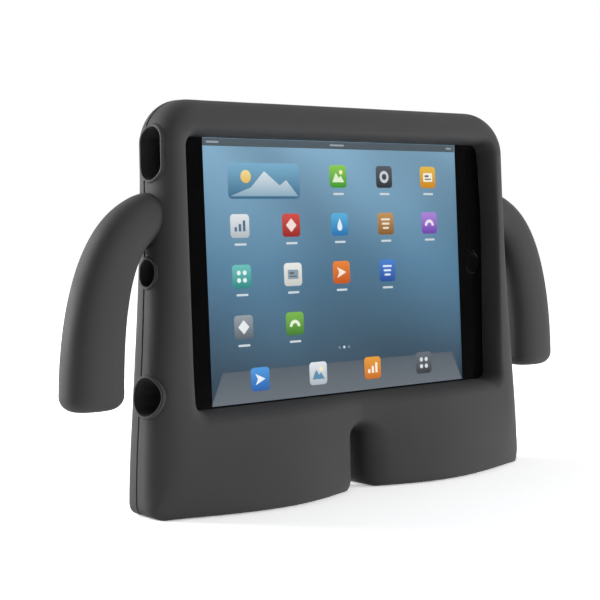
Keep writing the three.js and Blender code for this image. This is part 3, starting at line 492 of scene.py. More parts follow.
def case_body(sizes):
    """One skin from the back face round the edge, over the front and the lip, in to the glass."""
    places = stations(sizes)
    rings = []

    def ring(point_at):
        rings.append([point_at(place) for place in places])

    def quarter(steps, first=0):
        return [QUARTER * k / steps for k in range(first, steps + 1)]

    def behind_window(s):
        z = SCREEN_MIDDLE + s["glass"].y
        return s["glass"].x, GLASS_Y + back_face(z), z
    ring(behind_window)
    for angle in quarter(BACK_STEPS):
        def on_back(s):
            p = s["back"].lerp(s["outer"], math.sin(angle))
            return p.x, GLASS_Y + back_face(p.y) - s["back_depth"] * (1 - math.cos(angle)), p.y
        ring(on_back)
    for offset, depth in SEAM_SECTION:
        def on_seam(s):
            p = s["outer"] - s["outward"] * (depth * sizes.seam_depth)
            return p.x, GLASS_Y + seam_plane(p.y) + offset * sizes.seam_half_width, p.y
        ring(on_seam)
    for angle in quarter(FRONT_STEPS):
        def on_front(s):
            p = s["outer"].lerp(s["front"], 1 - math.cos(angle))
            face = front_face(p.x, p.y, sizes.toe_bulge)
            return p.x, GLASS_Y + face + s["front_depth"] * (1 - math.sin(angle)), p.y
        ring(on_front)
    for step in range(1, FACE_STEPS + 1):
        def on_face(s):
            p = s["front"].lerp(s["lip"], step / FACE_STEPS)
            return p.x, GLASS_Y + front_face(p.x, p.y, sizes.toe_bulge), p.y
        ring(on_face)
    for angle in quarter(LIP_STEPS, 1):
        def on_lip(s):
            p = s["lip"]
            start = Vector((p.x, GLASS_Y + front_face(p.x, p.y, sizes.toe_bulge), p.y))
            end = leaned(s["glass"].x, s["glass"].y, -SEAT_GAP)
            inward, back = math.sin(angle), 1 - math.cos(angle)
            return mix(start.x, end.x, inward), mix(start.y, end.y, back), mix(start.z, end.z, inward)
        ring(on_lip)
    ring(lambda s: leaned(s["glass"].x, s["glass"].y, TABLET_MIDDLE))
    return loft("foam_moulding", rings)


def width_at(sizes, z):
    """Half width of the case at a height, with its upper corners."""
    side = Side(sizes.top_half_width, sizes.base_half_width, sizes.height)
    corner = side.corner(sizes.height - sizes.top_corner, sizes.top_corner)
    rise = max(z - corner[1], 0)
    if rise == 0:
        return side.at(z)
    return min(side.at(z), corner[0] + math.sqrt(max(sizes.top_corner ** 2 - rise ** 2, 0)))


def arm(sizes, side):
    root_x = width_at(sizes, ARM["root_height"]) - ARM["root_inset"]
    hand_x = width_at(sizes, ARM["hand_height"]) + sizes.finger_gap + ARM["hand_across"]
    ends = (
        Vector((root_x, ARM["root_height"])),
        Vector((root_x + ARM["root_pull"], ARM["root_height"])),
        Vector((hand_x, ARM["hand_height"] + ARM["hand_pull"])),
        Vector((hand_x, ARM["hand_height"])),
    )

    def along(t):
        a, b, c, d = ends
        u = 1 - t
        return a * u ** 3 + b * (3 * u * u * t) + c * (3 * u * t * t) + d * t ** 3

    samples = [along(k / ARM_SAMPLES) for k in range(ARM_SAMPLES + 1)]
    lengths = [0.0]
    for before, after in zip(samples, samples[1:]):
        lengths.append(lengths[-1] + (after - before).length)
    total = lengths[-1]

    def section(distance, shrink):
        k = max(min(sum(1 for reached in lengths if reached < distance), ARM_SAMPLES), 1)
        part = (min(distance, total) - lengths[k - 1]) / (lengths[k] - lengths[k - 1])
        centre = samples[k - 1].lerp(samples[k], part)
        ahead, behind = min((k + part) / ARM_SAMPLES, 1), max((k - 2 + part) / ARM_SAMPLES, 0)
        tangent = (along(ahead) - along(behind)).normalized()
        outside = max(distance - ARM["root_inset"], 0)
        grow = ARM["flare"] * math.exp(-((outside / ARM["flare_length"]) ** 2)) - shrink
        filled = math.sin(min(distance / total, 1) * QUARTER)
        across = mix(ARM["root_across"], ARM["hand_across"], filled) + grow
        deep = mix(ARM["root_deep"], ARM["hand_deep"], filled) + grow
        ring = []
        for corner in range(ARM_CORNERS):
            angle = math.tau * corner / ARM_CORNERS

            def round_to(value):
                return math.copysign(abs(value) ** (2 / ARM_SQUARENESS), value)

            out = across * round_to(math.cos(angle))
            z = centre.y + tangent.x * out
            middle = GLASS_Y + ARM["plane"] + ARM_SLOPE * (z - SCREEN_MIDDLE)
            y = middle + deep * round_to(math.sin(angle))
            ring.append((side * (centre.x - tangent.y * out), y, z))
        return ring

    straight_length = total - ARM["end_radius"]
    rings = [section(straight_length * k / ARM_RINGS, 0) for k in range(ARM_RINGS + 1)]
    for k in range(1, HAND_RINGS + 1):
        angle = QUARTER * k / HAND_RINGS
        rings.append(section(
            total - ARM["end_radius"] * (1 - math.sin(angle)),
            ARM["end_radius"] * (1 - math.cos(angle)),
        ))
    return loft("arm", rings)


def stadium(half_length, half_width, segments=20):
    """A stadium's points with their outward normals, its long way along the second axis."""
    points = []
    for sign, start in ((1, 0), (-1, math.pi)):
        for k in range(segments + 1):
            angle = start + math.pi * k / segments
            normal = Vector((math.cos(angle), math.sin(angle)))
            point = normal * half_width + Vector((0, sign * (half_length - half_width)))
            points.append((point, normal))
    return points


def wall_drop(sizes, y, z):
    """How far a side wall's surface lies below the outline, in front of or behind its flat middle."""
    def drop(into, inset, depth):
        share = min(max(into / depth, 0), 1)
        return inset * (1 - math.sqrt(1 - share ** 2))

    half = width_at(sizes, z)
    front, back = FRONT_ROUNDING["side"], BACK_ROUNDING["side"]
    into_front = GLASS_Y + front_face(half, z, sizes.toe_bulge) + front - y
    into_back = y - (GLASS_Y + back_face(z) - back)
    return (
        drop(into_front, FRONT_INSET["side_top"], front)
        + drop(into_back, BACK_INSET["side_top"], back)
    )


def port_rim(sizes, side, along, half_length, half_width, forward):
    """A thin bead on the wall round a port."""
    rings = []
    for point, normal in stadium(half_length + RIM_STAND_OFF, half_width + RIM_STAND_OFF):
        place = leaned(0, along + point.y, TABLET_MIDDLE - forward + point.x)
        place.x = side * (width_at(sizes, place.z) - wall_drop(sizes, place.y, place.z) - RIM_SINK)
        rings.append([
            place + Vector((side * out, normal.x * off, normal.y * off))
            for off, out in circle(RIM_RADIUS, RIM_SIDES)
        ])
    return loft("rim", rings, closed_on_itself=True)


def side_bore(sizes, side, along, half_length, half_width, forward):
    def hole(x):
        return [
            leaned(side * x, along + p.y, TABLET_MIDDLE - forward + p.x)
            for p, _ in stadium(half_length, half_width)
        ]
    outer = width_at(sizes, SCREEN_MIDDLE + along) + sizes.finger_gap / 2
    return loft("bore", [hole(BORE_START), hole(outer)])


def volume_bore(sizes):
    """The slot over the volume buttons, with a softly rounded mouth."""
    middle, half_length, half_width = (value * MM for value in VOLUME_PORT)
    mouth = (sizes.height - SCREEN_MIDDLE) / math.cos(LEAN)
    rings = []
    for rise, grow in VOLUME_MOUTH:
        shape = stadium(half_length + grow * MM, half_width + grow * MM)
        along = mouth + rise * MM
        rings.append([leaned(middle + p.y, along, TABLET_MIDDLE + p.x) for p, _ in shape])
    return loft("bore", rings)


def camera_bore():
    """The round hole behind the rear camera, which opens out towards the back."""
    across, along, radius = (value * MM for value in CAMERA_PORT)
    back = BACK_DEPTH - TABLET_THICKNESS
    rings = []
    for depth, grow in ((-2 * MM, 0), (back / 3, 0), (2 * back, CAMERA_FLARE * MM)):
        rings.append([
            leaned(across + x, along + z, TABLET_THICKNESS + depth)
            for x, z in circle(radius + grow)
        ])
    return loft("bore", rings)


def rounded_rectangle(half_width, half_height, radius, segments=10):
    points = []
    for sx, sz, start in ((1, -1, -90), (1, 1, 0), (-1, 1, 90), (-1, -1, 180)):
        for k in range(segments + 1):
            angle = math.radians(start + 90 * k / segments)
            points.append(Vector((
                sx * (half_width - radius) + radius * math.cos(angle),
                sz * (half_height - radius) + radius * math.sin(angle),
            )))
    return points


def tablet_pocket():
    """The space that the tablet fills, a little larger than it."""
    rings = []
    for depth, inset in POCKET:
        shape = rounded_rectangle(
            TABLET_HALF_WIDTH + SEAT_GAP - inset * MM,
            TABLET_HALF_HEIGHT + SEAT_GAP - inset * MM,
            TABLET_CORNER + SEAT_GAP - inset * MM,
        )
        rings.append([leaned(p.x, p.y, depth * MM) for p in shape])
    return loft("pocket", rings)


# Materials


def linear(hex_colour):
    """Linear RGBA of an sRGB hex colour."""
    channels = [int(hex_colour[i:i + 2], 16) / 255 for i in (1, 3, 5)]
    return (*[c / 12.92 if c <= 0.04045 else ((c + 0.055) / 1.055) ** 2.4 for c in channels], 1)


def node(tree, kind, settings=(), links=()):
    """Adds a shader node. Settings go to its attributes or else to its input sockets."""
    made = tree.nodes.new("ShaderNode" + kind)
    for key, value in dict(settings).items():
        if hasattr(made, key):
            setattr(made, key, value)
        else:
            made.inputs[key].default_value = value
    link(tree, made, links)
    return made


def link(tree, target, links):
    """Links sockets, or the first sockets of nodes, to a node's inputs."""
    for key, source in dict(links).items():
        socket = source.outputs[0] if isinstance(source, bpy.types.Node) else source
        tree.links.new(socket, target.inputs[key])


def surface(name, settings):
    """A new material with one shader, whose own sockets hold what is the same all over."""
    material = bpy.data.materials.new(name)
    material.use_nodes = True
    tree = material.node_tree
    tree.nodes.clear()
    shader = node(tree, "BsdfPrincipled", settings)
    node(tree, "OutputMaterial", (), {"Surface": shader})
    return material, tree, shader


def object_place(tree):
    return node(tree, "TexCoord").outputs["Object"]


def noise(tree, place, grain, detail=2.0, roughness=0.5):
    """Noise whose grains have a real size, in metres."""
    settings = {"Scale": 1 / grain, "Detail": detail, "Roughness": roughness}
    return node(tree, "TexNoise", settings, {"Vector": place})


def remap(tree, source, low, high, start=0, end=1):
    """Turns values from start to end into values from low to high."""
    return node(tree, "MapRange", {
        "From Min": start, "From Max": end, "To Min": low, "To Max": high,
    }, {"Value": source})


def foam_skin(colours):
    """EVA foam, injection moulded: a closed satin skin with a very fine grain, and a slightly uneven
    gloss where the skin set against the mould. The real grain of about 0.2 mm is drawn at 0.6 mm."""
    material, tree, shader = surface("moulded EVA foam", {"IOR": 1.45, "Specular IOR Level": 0.25})
    place = object_place(tree)
    grain = noise(tree, place, 0.6 * MM, roughness=0.6)
    cloud = noise(tree, place, 18 * MM, detail=3.0)
    low, high = 0.3, 0.7
    tone = node(tree, "ValToRGB", (), {"Fac": cloud})
    for stop, position, share in ((0, low, 0.96), (1, high, 1.04)):
        tone.color_ramp.elements[stop].position = position
        tone.color_ramp.elements[stop].color = (*[c * share for c in linear(colours.foam)[:3]], 1)
    link(tree, shader, {
        "Base Color": tone,
        "Roughness": remap(tree, cloud, 0.62, 0.72, low, high),
        "Normal": node(tree, "Bump", {"Strength": 0.12, "Distance": 0.04 * MM}, {"Height": grain}),
    })
    return material


def clear_glass():
    """Aluminosilicate cover glass, polished: clear, with sharp reflections."""
    return surface("polished cover glass", {
        "Base Color": (1, 1, 1, 1), "Roughness": 0.0, "IOR": 1.5, "Transmission Weight": 1.0,
    })[0]


def printed_border(colours):
    """Black ink screen printed behind the cover glass: deep black under the glass's gloss, with the
    faint unevenness of a fingertip's film."""
    material, tree, shader = surface("black print behind glass", {
        "Base Color": linear(colours.border), "IOR": 1.5, "Specular IOR Level": 0.5,
    })
    film = noise(tree, object_place(tree), 9 * MM)
    link(tree, shader, {"Roughness": remap(tree, film, 0.03, 0.09)})
    return material


LIT = {"Base Color": (0.003, 0.003, 0.004, 1), "Roughness": 0.4, "Emission Strength": 1.0}


def wallpaper(colours):
    """Lit picture: a soft vertical fade with slow slanting bands, plain colours of light."""
    material, tree, shader = surface("lit wallpaper", LIT)
    turned = node(tree, "Mapping", {
        "Location": -(Matrix.Rotation(LEAN, 3, "X") @ leaned(0, 0, 0)), "Rotation": (LEAN, 0, 0),
    }, {"Vector": object_place(tree)})
    axes = node(tree, "SeparateXYZ", (), {"Vector": turned})
    height = remap(tree, axes.outputs["Z"], 0, 1, -PICTURE_HALF_HEIGHT, PICTURE_HALF_HEIGHT)
    fade = node(tree, "ValToRGB", (), {"Fac": height})
    ramp = fade.color_ramp
    ramp.elements[0].color = linear(colours.picture_foot)
    ramp.elements[1].color = linear(colours.picture_top)
    ramp.elements.new(0.5).color = linear(colours.picture_middle)
    bands = node(tree, "TexWave", {
        "bands_direction": "DIAGONAL", "wave_profile": "SIN",
        "Scale": 1 / 0.16, "Distortion": 5.0, "Detail": 2.0, "Detail Scale": 1.2,
    }, {"Vector": turned})
    light = remap(tree, bands.outputs["Fac"], 0.86, 1.12)
    picture = node(tree, "VectorMath", {"operation": "SCALE"}, {"Vector": fade, "Scale": light})
    link(tree, shader, {"Emission Color": picture})
    return material


def lit_tiles():
    """Lit picture: tiles, bars and motifs, each in the colour that its own points carry."""
    material, tree, shader = surface("lit tiles", LIT)
    link(tree, shader, {"Emission Color": node(tree, "VertexColor", {"layer_name": "light"})})
    return material


def brushed(name, hex_colour, metallic, roughness, grain_mm, strength):
    """A metal or a moulded plastic with a fine directionless grain of a real size in millimetres."""
    material, tree, shader = surface(name, {
        "Base Color": linear(hex_colour), "Metallic": metallic, "Roughness": roughness,
    })
    grain = noise(tree, object_place(tree), grain_mm * MM)
    link(tree, shader, {
        "Roughness": remap(tree, grain, roughness * 0.85, roughness * 1.15),
        "Normal": node(tree, "Bump", {"Strength": strength, "Distance": 0.02 * MM}, {"Height": grain}),
    })
    return material


# The picture on the screen: flat shapes with their own colours, in thin layers before the panel


PICTURE_GAP, LAYER_STEP, PLATE = 0.05, 0.06, 0.03


class Picture:
    """Collects flat shapes into one mesh with a colour for each point."""

    def __init__(self):
        self.points, self.faces, self.colours = [], [], []

    def add(self, outline, layer, upper, lower=None):
        """A thin plate. The outline is in millimetres across and along; higher layers lie nearer."""
        upper, lower = linear(upper), linear(lower or upper)
        low, high = min(p[1] for p in outline), max(p[1] for p in outline)
        depth = PANEL_DEPTH / MM - PICTURE_GAP - LAYER_STEP * layer
        first, count = len(self.points), len(outline)
        for back in (0, PLATE):
            for x, z in outline:
                self.points.append(leaned(x * MM, z * MM, (depth + back) * MM))
                share = (z - low) / max(high - low, 1e-6)
                self.colours.append([mix(a, b, share) for a, b in zip(lower, upper)])
        self.faces.append(tuple(range(first, first + count)))
        self.faces.append(tuple(range(first + 2 * count - 1, first + count - 1, -1)))
        for i in range(count):
            j = (i + 1) % count
            self.faces.append((first + j, first + i, first + count + i, first + count + j))

    def finished(self, name):
        piece = mesh_piece(name, self.points, self.faces)
        light = piece.data.color_attributes.new("light", "FLOAT_COLOR", "POINT")
        for value, colour in zip(light.data, self.colours):
            value.color = colour
        return piece


def polygon(x, z, points):
    return [(x + a, z + b) for a, b in points]


def tile_shape(x, z, half_width, half_height, radius):
    return polygon(x, z, rounded_rectangle(half_width, half_height, radius, 5))


def disc(x, z, radius, sides=24):
    return polygon(x, z, circle(radius, sides))


def motif(picture, kind, x, z, ink):
    """A plain figure on a tile: bars, a disc, hills and the like."""
    if kind == "bars":
        for k, tall in enumerate((2.0, 3.4, 5.0)):
            picture.add(tile_shape(x - 2.4 + 2.4 * k, z - 2.5 + tall / 2, 0.7, tall / 2, 0.3), 2, ink)
    elif kind == "disc":
        picture.add(disc(x, z, 3), 2, ink)
        picture.add(disc(x, z, 1.5), 3, "#3f4a55")
    elif kind == "lines":
        for k in range(3):
            picture.add(tile_shape(x, z + 2.1 - 2.1 * k, 3 - 0.5 * k, 0.5, 0.4), 2, ink)
    elif kind == "diamond":
        picture.add(polygon(x, z, ((0, -3.2), (3.2, 0), (0, 3.2), (-3.2, 0))), 2, ink)
    elif kind == "hills":
        picture.add(disc(x + 1.8, z + 2, 1.1), 2, "#fff2c4")
        hills = ((-3.8, -2.8), (3.8, -2.8), (1.6, 0.4), (0.4, -0.8), (-1.4, 1.8))
        picture.add(polygon(x, z, hills), 3, ink)
    elif kind == "dots":
        for dx in (-1.7, 1.7):
            for dz in (-1.7, 1.7):
                picture.add(disc(x + dx, z + dz, 1.1, 16), 2, ink)
    elif kind == "drop":
        drop = [(2.2 * math.sin(a) * math.sin(a / 2) ** 1.5, 3 * math.cos(a))
                for a in (math.tau * k / 24 for k in range(24))]
        picture.add(polygon(x, z, drop), 2, ink)
    elif kind == "arch":
        outer, inner = circle(3.2, 24)[:13], circle(1.6, 24)[12::-1]
        picture.add(polygon(x, z - 1.4, outer + inner), 2, ink)
    elif kind == "card":
        picture.add(tile_shape(x, z, 3.2, 2.2, 0.5), 2, ink)
        picture.add(tile_shape(x, z - 0.9, 2.2, 0.3, 0.2), 3, "#5a6670")
        picture.add(tile_shape(x - 0.8, z + 0.6, 1.4, 0.5, 0.2), 3, "#5a6670")
    elif kind == "kite":
        picture.add(polygon(x, z, ((-2.8, -2.6), (3, 0), (-2.8, 2.6), (-1.4, 0))), 2, ink)


TILES = (
    # column, row, upper colour, lower colour, motif, ink
    (2, 0, "#8fd35a", "#3f9a2c", "hills", "#e8f6da"),
    (3, 0, "#5b6068", "#2f3338", "disc", "#cfd6dc"),
    (4, 0, "#f0c24a", "#d38a1c", "card", "#fdf6e3"),
    (0, 1, "#e9edf0", "#b9c0c6", "bars", "#50708c"),
    (1, 1, "#d9534a", "#9c2722", "diamond", "#f8e4e0"),
    (2, 1, "#5fb6e6", "#2474b4", "drop", "#eaf6fd"),
    (3, 1, "#c79a62", "#8a5d2e", "lines", "#f6ead6"),
    (4, 1, "#b58be0", "#7142b0", "arch", "#f3ebfb"),
    (0, 2, "#70c8c0", "#2b8a86", "dots", "#eafaf8"),
    (1, 2, "#f2f2ee", "#cfcfc8", "card", "#8fa3b0"),
    (2, 2, "#f08a3c", "#c8561a", "kite", "#fff0e2"),
    (3, 2, "#4f86d8", "#2450a0", "lines", "#e6effc"),
    (0, 3, "#9aa2aa", "#5c646c", "diamond", "#eef1f3"),
    (1, 3, "#7fbf4e", "#3f7f26", "arch", "#eef8e4"),
)
DOCK_TILES = (
    (-52, "#4f9fe6", "#1f5fb0", "kite", "#eef6fe"),
    (-17, "#e9eef2", "#b4bec6", "hills", "#5c8fb0"),
    (18, "#f0a23c", "#d0701a", "bars", "#fff4e4"),
    (53, "#6a727a", "#33383e", "dots", "#dfe5ea"),
)
TILE_HALF, TILE_RADIUS = 5.4, 1.8
TILE_PITCH, ROW_PITCH, FIRST_ROW, FIRST_COLUMN = 30.2, 23, 43.5, -60.4
LABEL_DROP, LABEL_HALF = 3, 3.4
STRIP_HALF, PICTURE_EDGE = 1.75, 0.1
BANNER = (-45.3, 41)
DOCK_EDGE, DOCK_INSET, DOCK_ROW = -45.5, 7, -49.8
DOTS_ROW, DOTS_PITCH = -38.5, 3


def screen_picture():
    """Status strip, banner, tiles with their label bars, page dots and the dock."""
    wide, tall = PICTURE_HALF_WIDTH / MM - PICTURE_EDGE, PICTURE_HALF_HEIGHT / MM - PICTURE_EDGE
    picture = Picture()

    def tile(x, z, upper, lower, kind, ink):
        picture.add(tile_shape(x, z, TILE_HALF, TILE_HALF, TILE_RADIUS), 1, upper, lower)
        motif(picture, kind, x, z, ink)

    picture.add(tile_shape(0, tall - STRIP_HALF, wide, STRIP_HALF, 0.02), 0, "#535e66")
    for x, half in ((-wide + 6, 3.5), (0, 4.5), (wide - 4, 2)):
        picture.add(tile_shape(x, tall - STRIP_HALF, half, 0.45, 0.4), 1, "#9fa9b0")
    picture.add(tile_shape(*BANNER, 21, 8.2, 2.2), 1, "#7fb4d2", "#3c6c8c")
    picture.add(disc(-56, 43, 3, 32), 2, "#f7e3a0", "#eec05a")
    hills = ((-20, -7), (20, -7), (13, 0.5), (9, -2), (0, 4.5), (-8, -3))
    picture.add(polygon(*BANNER, hills), 3, "#dfeaf0", "#8fb0c4")
    for column, row, *look in TILES:
        x, z = FIRST_COLUMN + TILE_PITCH * column, FIRST_ROW - ROW_PITCH * row
        tile(x, z, *look)
        picture.add(tile_shape(x, z - TILE_HALF - LABEL_DROP, LABEL_HALF, 0.5, 0.45), 1, "#d6dee4")
    for k in (-1, 0, 1):
        picture.add(disc(DOTS_PITCH * k, DOTS_ROW, 0.7, 16), 1, "#8a98a4" if k else "#eef2f5")
    slope = wide - DOCK_INSET
    dock = ((slope, DOCK_EDGE), (wide, -tall), (-wide, -tall), (-slope, DOCK_EDGE))
    picture.add(dock, 0, "#56606a", "#6a727a")
    for x, *look in DOCK_TILES:
        tile(x, DOCK_ROW, *look)
    return picture.finished("screen_picture")


# Copies of CAD nodes with eased edges


def eased_copy(name, source, width):
    """A merged copy of a CAD node with rounded edges."""
    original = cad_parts[source]
    piece = bpy.data.objects.new(name, original.data.copy())
    bpy.context.collection.objects.link(piece)
    piece.data.materials.clear()
    edit_mesh(
        piece,
        (bpy.ops.mesh.remove_doubles, {"threshold": 1e-6}),
        (bpy.ops.mesh.dissolve_limited, {"angle_limit": math.radians(1)}),
    )
    if width:
        bevel = piece.modifiers.new("eased edges", "BEVEL")
        bevel.width = width
        bevel.segments = 3
        bevel.limit_method = "ANGLE"
        bevel.angle_limit = math.radians(40)
        apply_modifiers(piece)
    smooth(piece)
    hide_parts(source)
    return piece


def repaint(source, material):
    """Gives a CAD node, whose mesh is kept, its material."""
    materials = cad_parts[source].data.materials
    materials.clear()
    materials.append(material)


# Operators


class OBJECT_OT_foam_moulding(bpy.types.Operator):
    """Body, feet, arms, port rims and parting seam of the foam case, as one moulding"""

    bl_idname = "object.foam_moulding"
    bl_label = "Foam moulding"

    def execute(self, context):
        sizes, colours = context.scene.case_sizes, context.scene.finish_colours
        moulding = case_body(sizes)
        added = [arm(sizes, -1), arm(sizes, 1)]
        ports = [(side, *(size * MM for size in place)) for side, *place in SIDE_PORTS]
        added += [port_rim(sizes, *port) for port in ports]
        combine(moulding, added, "UNION")
        cutters = [tablet_pocket(), camera_bore(), volume_bore(sizes)]
        cutters += [side_bore(sizes, *port) for port in ports]
        combine(moulding, cutters, "DIFFERENCE")
        if len(moulding.data.polygons) < LEAST_FACES:
            raise RuntimeError("the foam moulding was lost in its cuts")
        smooth(moulding, 40)
        ready(moulding, "foam", foam_skin(colours))
        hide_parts("foam_case")
        return {"FINISHED"}


class OBJECT_OT_cover_glass(bpy.types.Operator):
    """Cover glass with its black printed border and its clear middle"""

    bl_idname = "object.cover_glass"
    bl_label = "Cover glass"

    def execute(self, context):
        glass = eased_copy("cover_glass", "front_glass", 0)
        middle, upright = leaned(0, 0, 0), Vector((0, math.sin(LEAN), math.cos(LEAN)))
        for normal, reach in ((Vector((1, 0, 0)), PICTURE_HALF_WIDTH), (upright, PICTURE_HALF_HEIGHT)):
            for sign in (-1, 1):
                cut = {"plane_co": middle + normal * (sign * reach), "plane_no": normal}
                edit_mesh(glass, (bpy.ops.mesh.bisect, cut))
        ready(glass, "glass", printed_border(context.scene.finish_colours), clear_glass())
        for face in glass.data.polygons:
            off = face.center - middle
            across, along = abs(off.x), abs(off.dot(upright))
            face.material_index = int(across < PICTURE_HALF_WIDTH and along < PICTURE_HALF_HEIGHT)
        return {"FINISHED"}


class OBJECT_OT_lit_picture(bpy.types.Operator):
    """The lit panel and the plain generic picture that it shows"""

    bl_idname = "object.lit_picture"
    bl_label = "Lit picture"

    def execute(self, context):
        repaint("display_panel", wallpaper(context.scene.finish_colours))
        ready(screen_picture(), "display", lit_tiles())
        return {"FINISHED"}


class OBJECT_OT_home_button(bpy.types.Operator):
    """The dished round button beside the picture, with its stem"""

    bl_idname = "object.home_button_cap"
    bl_label = "Home button"

    def execute(self, context):
        low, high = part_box("home_button")
        across = (low.x + high.x) / 2
        cap = loft("home_button_cap", [
            [leaned(across + x, z, depth * MM) for x, z in circle(reach * MM)]
            for reach, depth in HOME_PROFILE
        ])
        smooth(cap, 50)
        plastic = brushed("glossy black polycarbonate", "#0a0a0c", 0, 0.16, 0.5, 0.02)
        ready(cap, "black_plastic", plastic, body="home_button")
        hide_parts("home_button")
        return {"FINISHED"}


class OBJECT_OT_tablet_finishes(bpy.types.Operator):
    """Eased copies of the small metal parts, and a finish for every other node"""

    bl_idname = "object.tablet_finishes"
    bl_label = "Tablet finishes"

    def execute(self, context):
        colours = context.scene.finish_colours
        shell = brushed("bead blasted anodised aluminium", colours.shell, 1, 0.38, 0.25, 0.15)
        button = brushed("anodised aluminium button", "#26272b", 1, 0.3, 0.25, 0.1)
        steel = brushed("stamped stainless steel", "#b5b8bc", 1, 0.3, 0.4, 0.1)
        rubber = brushed("die cut silicone gasket", "#141416", 0, 0.75, 0.3, 0.2)
        plastic = brushed("moulded black nylon", "#101012", 0, 0.45, 0.3, 0.15)
        board = brushed("solder masked glass epoxy", "#1d4b35", 0, 0.4, 0.8, 0.2)
        pouch = brushed("laminated foil pouch", "#2b2d31", 0, 0.5, 1.5, 0.3)
        lens = brushed("coated lens glass", "#0b0e1a", 0, 0.05, 3, 0)
        buttons = (
            ("sleep_button_cap", "sleep_button", 0.25),
            ("volume_up_cap", "volume_up_button", 0.25),
            ("volume_down_cap", "volume_down_button", 0.25),
            ("mute_slider", "mute_switch", 0.2),
        )
        for name, source, width in buttons:
            ready(eased_copy(name, source, width * MM), "button_metal", button, body=source)
        ready(eased_copy("camera_bezel", "rear_camera_ring", 0.15 * MM), "steel", steel)
        kept = {
            shell: ("tablet_rear_shell",),
            rubber: ("glass_seal_frame",),
            steel: (
                "home_button_switch", "home_button_bracket", "charge_connector", "microphone",
                *(f"board_screw_{k}" for k in range(1, 5)),
            ),
            plastic: ("headphone_jack", "speaker"),
            board: (
                "side_button_board", "volume_button_board", "rear_camera_module", "front_camera_module",
                "logic_board",
            ),
            pouch: ("battery_cell_left", "battery_cell_right"),
            lens: ("rear_camera_lens",),
        }
        for material, names in kept.items():
            for name in names:
                repaint(name, material)
        return {"FINISHED"}


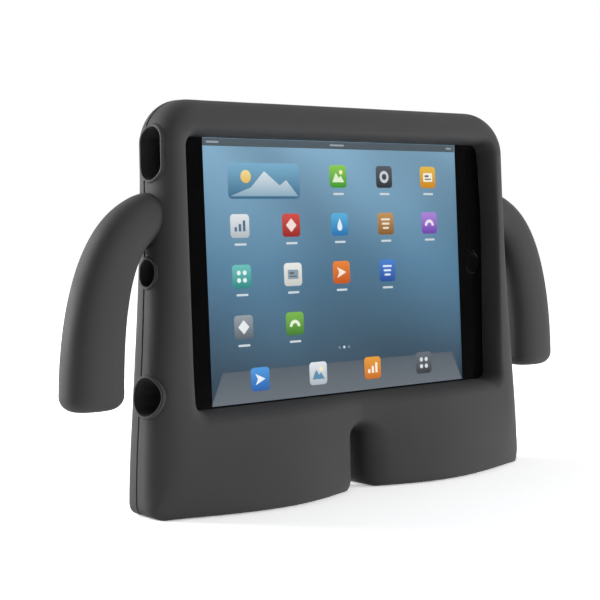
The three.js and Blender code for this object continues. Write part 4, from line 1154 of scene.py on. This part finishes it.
class OBJECT_OT_plain_studio(bpy.types.Operator):
    """Pale floor, soft lamps, dark cards for the glass and the camera"""

    bl_idname = "object.plain_studio"
    bl_label = "Plain studio"

    def execute(self, context):
        scene, studio = context.scene, context.scene.studio_settings
        self.floor()
        for card in DARK_CARDS:
            self.dark_card(*card)
        self.lamp("rim_softbox", *RIM_SOFTBOX, studio.side_lamp)
        front = self.lamp("front_softbox", *FRONT_SOFTBOX, studio.front_lamp)
        front.visible_glossy = False
        front.visible_transmission = False
        self.overhead(studio.top_lamp)
        self.room(scene)
        bpy.ops.object.camera_add(
            location=studio.camera_place,
            rotation=(math.pi / 2 - studio.camera_dip, 0, studio.camera_turn),
        )
        camera = context.object
        camera.name = "camera"
        camera.data.lens = studio.lens
        camera.data.sensor_width = 36
        camera.data.clip_start = 0.01
        scene.camera = camera
        scene.view_settings.view_transform = "Standard"
        return {"FINISHED"}

    def lamp(self, name, place, size, power):
        """A rectangular softbox that faces the case."""
        bpy.ops.object.light_add(type="AREA", location=place)
        lamp = bpy.context.object
        lamp.name = name
        lamp.data.shape = "RECTANGLE"
        lamp.data.size, lamp.data.size_y = size
        lamp.data.energy = power
        aim = LAMP_AIM - Vector(place)
        lamp.rotation_euler = aim.to_track_quat("-Z", "Y").to_euler()
        return lamp

    def overhead(self, strength):
        """A wide even light from above, which leaves a soft shadow round the feet."""
        turn = (math.radians(-12), math.radians(-14), 0)
        bpy.ops.object.light_add(type="SUN", location=(0, 0, 2), rotation=turn)
        sky = bpy.context.object
        sky.name = "overhead_light"
        sky.data.energy = strength
        sky.data.angle = math.radians(75)

    def dark_card(self, name, place, size):
        """A black card that only reflections see, as photographers stand beside glossy screens."""
        bpy.ops.mesh.primitive_plane_add(size=1, location=place)
        card = bpy.context.object
        card.name = name
        aim = CARD_AIM - Vector(place)
        card.rotation_euler = aim.to_track_quat("Z", "Y").to_euler()
        card.scale = (*size, 1)
        felt = surface("black studio felt", {"Base Color": (0.004, 0.004, 0.004, 1), "Roughness": 0.9})
        card.data.materials.append(felt[0])
        card.visible_camera = False
        card.visible_diffuse = False
        card.visible_shadow = False

    def floor(self):
        """A pale sweep that looks white where nothing shades it, and keeps the shadow. Its glow is
        weaker near the case, a painted shade that deepens the shadow round the feet.
        """
        bpy.ops.mesh.primitive_plane_add(size=FLOOR_SIZE, location=(0, 0, -FLOOR_DROP))
        floor = bpy.context.object
        floor.name = "floor"
        material = bpy.data.materials.new("white paper sweep")
        material.use_nodes = True
        tree = material.node_tree
        tree.nodes.clear()
        paper = node(tree, "BsdfDiffuse", {"Color": (*[FLOOR_TONE] * 3, 1)})
        bright = node(tree, "BsdfDiffuse", {"Color": (*[FLOOR_TONE_SEEN] * 3, 1)})
        away = node(tree, "VectorMath", {"operation": "LENGTH"}, {"Vector": object_place(tree)})
        # The glow grows with distance from the case: near it, painted shade deepens the shadow round
        # the feet.
        glow_and_shade = remap(
            tree, away.outputs["Value"],
            FLOOR_GLOW_AND_SHADE["near"], FLOOR_GLOW_AND_SHADE["far"], FLOOR_GLOW_AND_SHADE["from"], FLOOR_GLOW_AND_SHADE["to"],
        )
        glow = node(tree, "Emission", {"Color": (1, 1, 1, 1)}, {"Strength": glow_and_shade})
        lifted = node(tree, "AddShader", (), {0: bright, 1: glow})
        choice = node(tree, "MixShader", (), {0: self.seen(tree), 1: paper, 2: lifted})
        node(tree, "OutputMaterial", (), {"Surface": choice})
        floor.data.materials.append(material)

    def seen(self, tree):
        """One for rays that the camera, a reflection or a clear body sends, and none for others."""
        path = node(tree, "LightPath").outputs
        seen = path["Is Camera Ray"]
        for kind in ("Is Glossy Ray", "Is Transmission Ray"):
            seen = node(tree, "Math", {"operation": "MAXIMUM"}, {0: seen, 1: path[kind]})
        return seen

    def room(self, scene):
        """White to the eye, and a weaker even light on the object."""
        world = bpy.data.worlds.new("white studio")
        scene.world = world
        world.use_nodes = True
        tree = world.node_tree
        tree.nodes.clear()
        ambient = node(tree, "Background", {"Color": (1, 1, 1, 1), "Strength": ROOM_LIGHT})
        white = node(tree, "Background", {"Color": (1, 1, 1, 1), "Strength": 1.0})
        choice = node(tree, "MixShader", (), {0: self.seen(tree), 1: ambient, 2: white})
        node(tree, "OutputWorld", (), {"Surface": choice})


class VIEW3D_PT_tablet_case(bpy.types.Panel):
    """Lists the steps that build the case"""

    bl_label = "Tablet case"
    bl_idname = "VIEW3D_PT_tablet_case"
    bl_space_type = "VIEW_3D"
    bl_region_type = "UI"
    bl_category = "Tablet case"

    def draw(self, context):
        for step in STEPS:
            self.layout.operator(step.bl_idname)
        scene = context.scene
        for group in (scene.case_sizes, scene.finish_colours, scene.studio_settings):
            for name in group.__annotations__:
                self.layout.prop(group, name)


STEPS = (
    OBJECT_OT_foam_moulding,
    OBJECT_OT_cover_glass,
    OBJECT_OT_lit_picture,
    OBJECT_OT_home_button,
    OBJECT_OT_tablet_finishes,
    OBJECT_OT_plain_studio,
)
CLASSES = (CaseSizes, FinishColours, StudioSettings, *STEPS, VIEW3D_PT_tablet_case)


def register():
    for each in CLASSES:
        bpy.utils.register_class(each)
    bpy.types.Scene.case_sizes = PointerProperty(type=CaseSizes)
    bpy.types.Scene.finish_colours = PointerProperty(type=FinishColours)
    bpy.types.Scene.studio_settings = PointerProperty(type=StudioSettings)


def unregister():
    del bpy.types.Scene.studio_settings
    del bpy.types.Scene.finish_colours
    del bpy.types.Scene.case_sizes
    for each in reversed(CLASSES):
        bpy.utils.unregister_class(each)


def main():
    register()
    for step in STEPS:
        area, name = step.bl_idname.split(".")
        getattr(getattr(bpy.ops, area), name)()


if __name__ == "__main__":
    main()
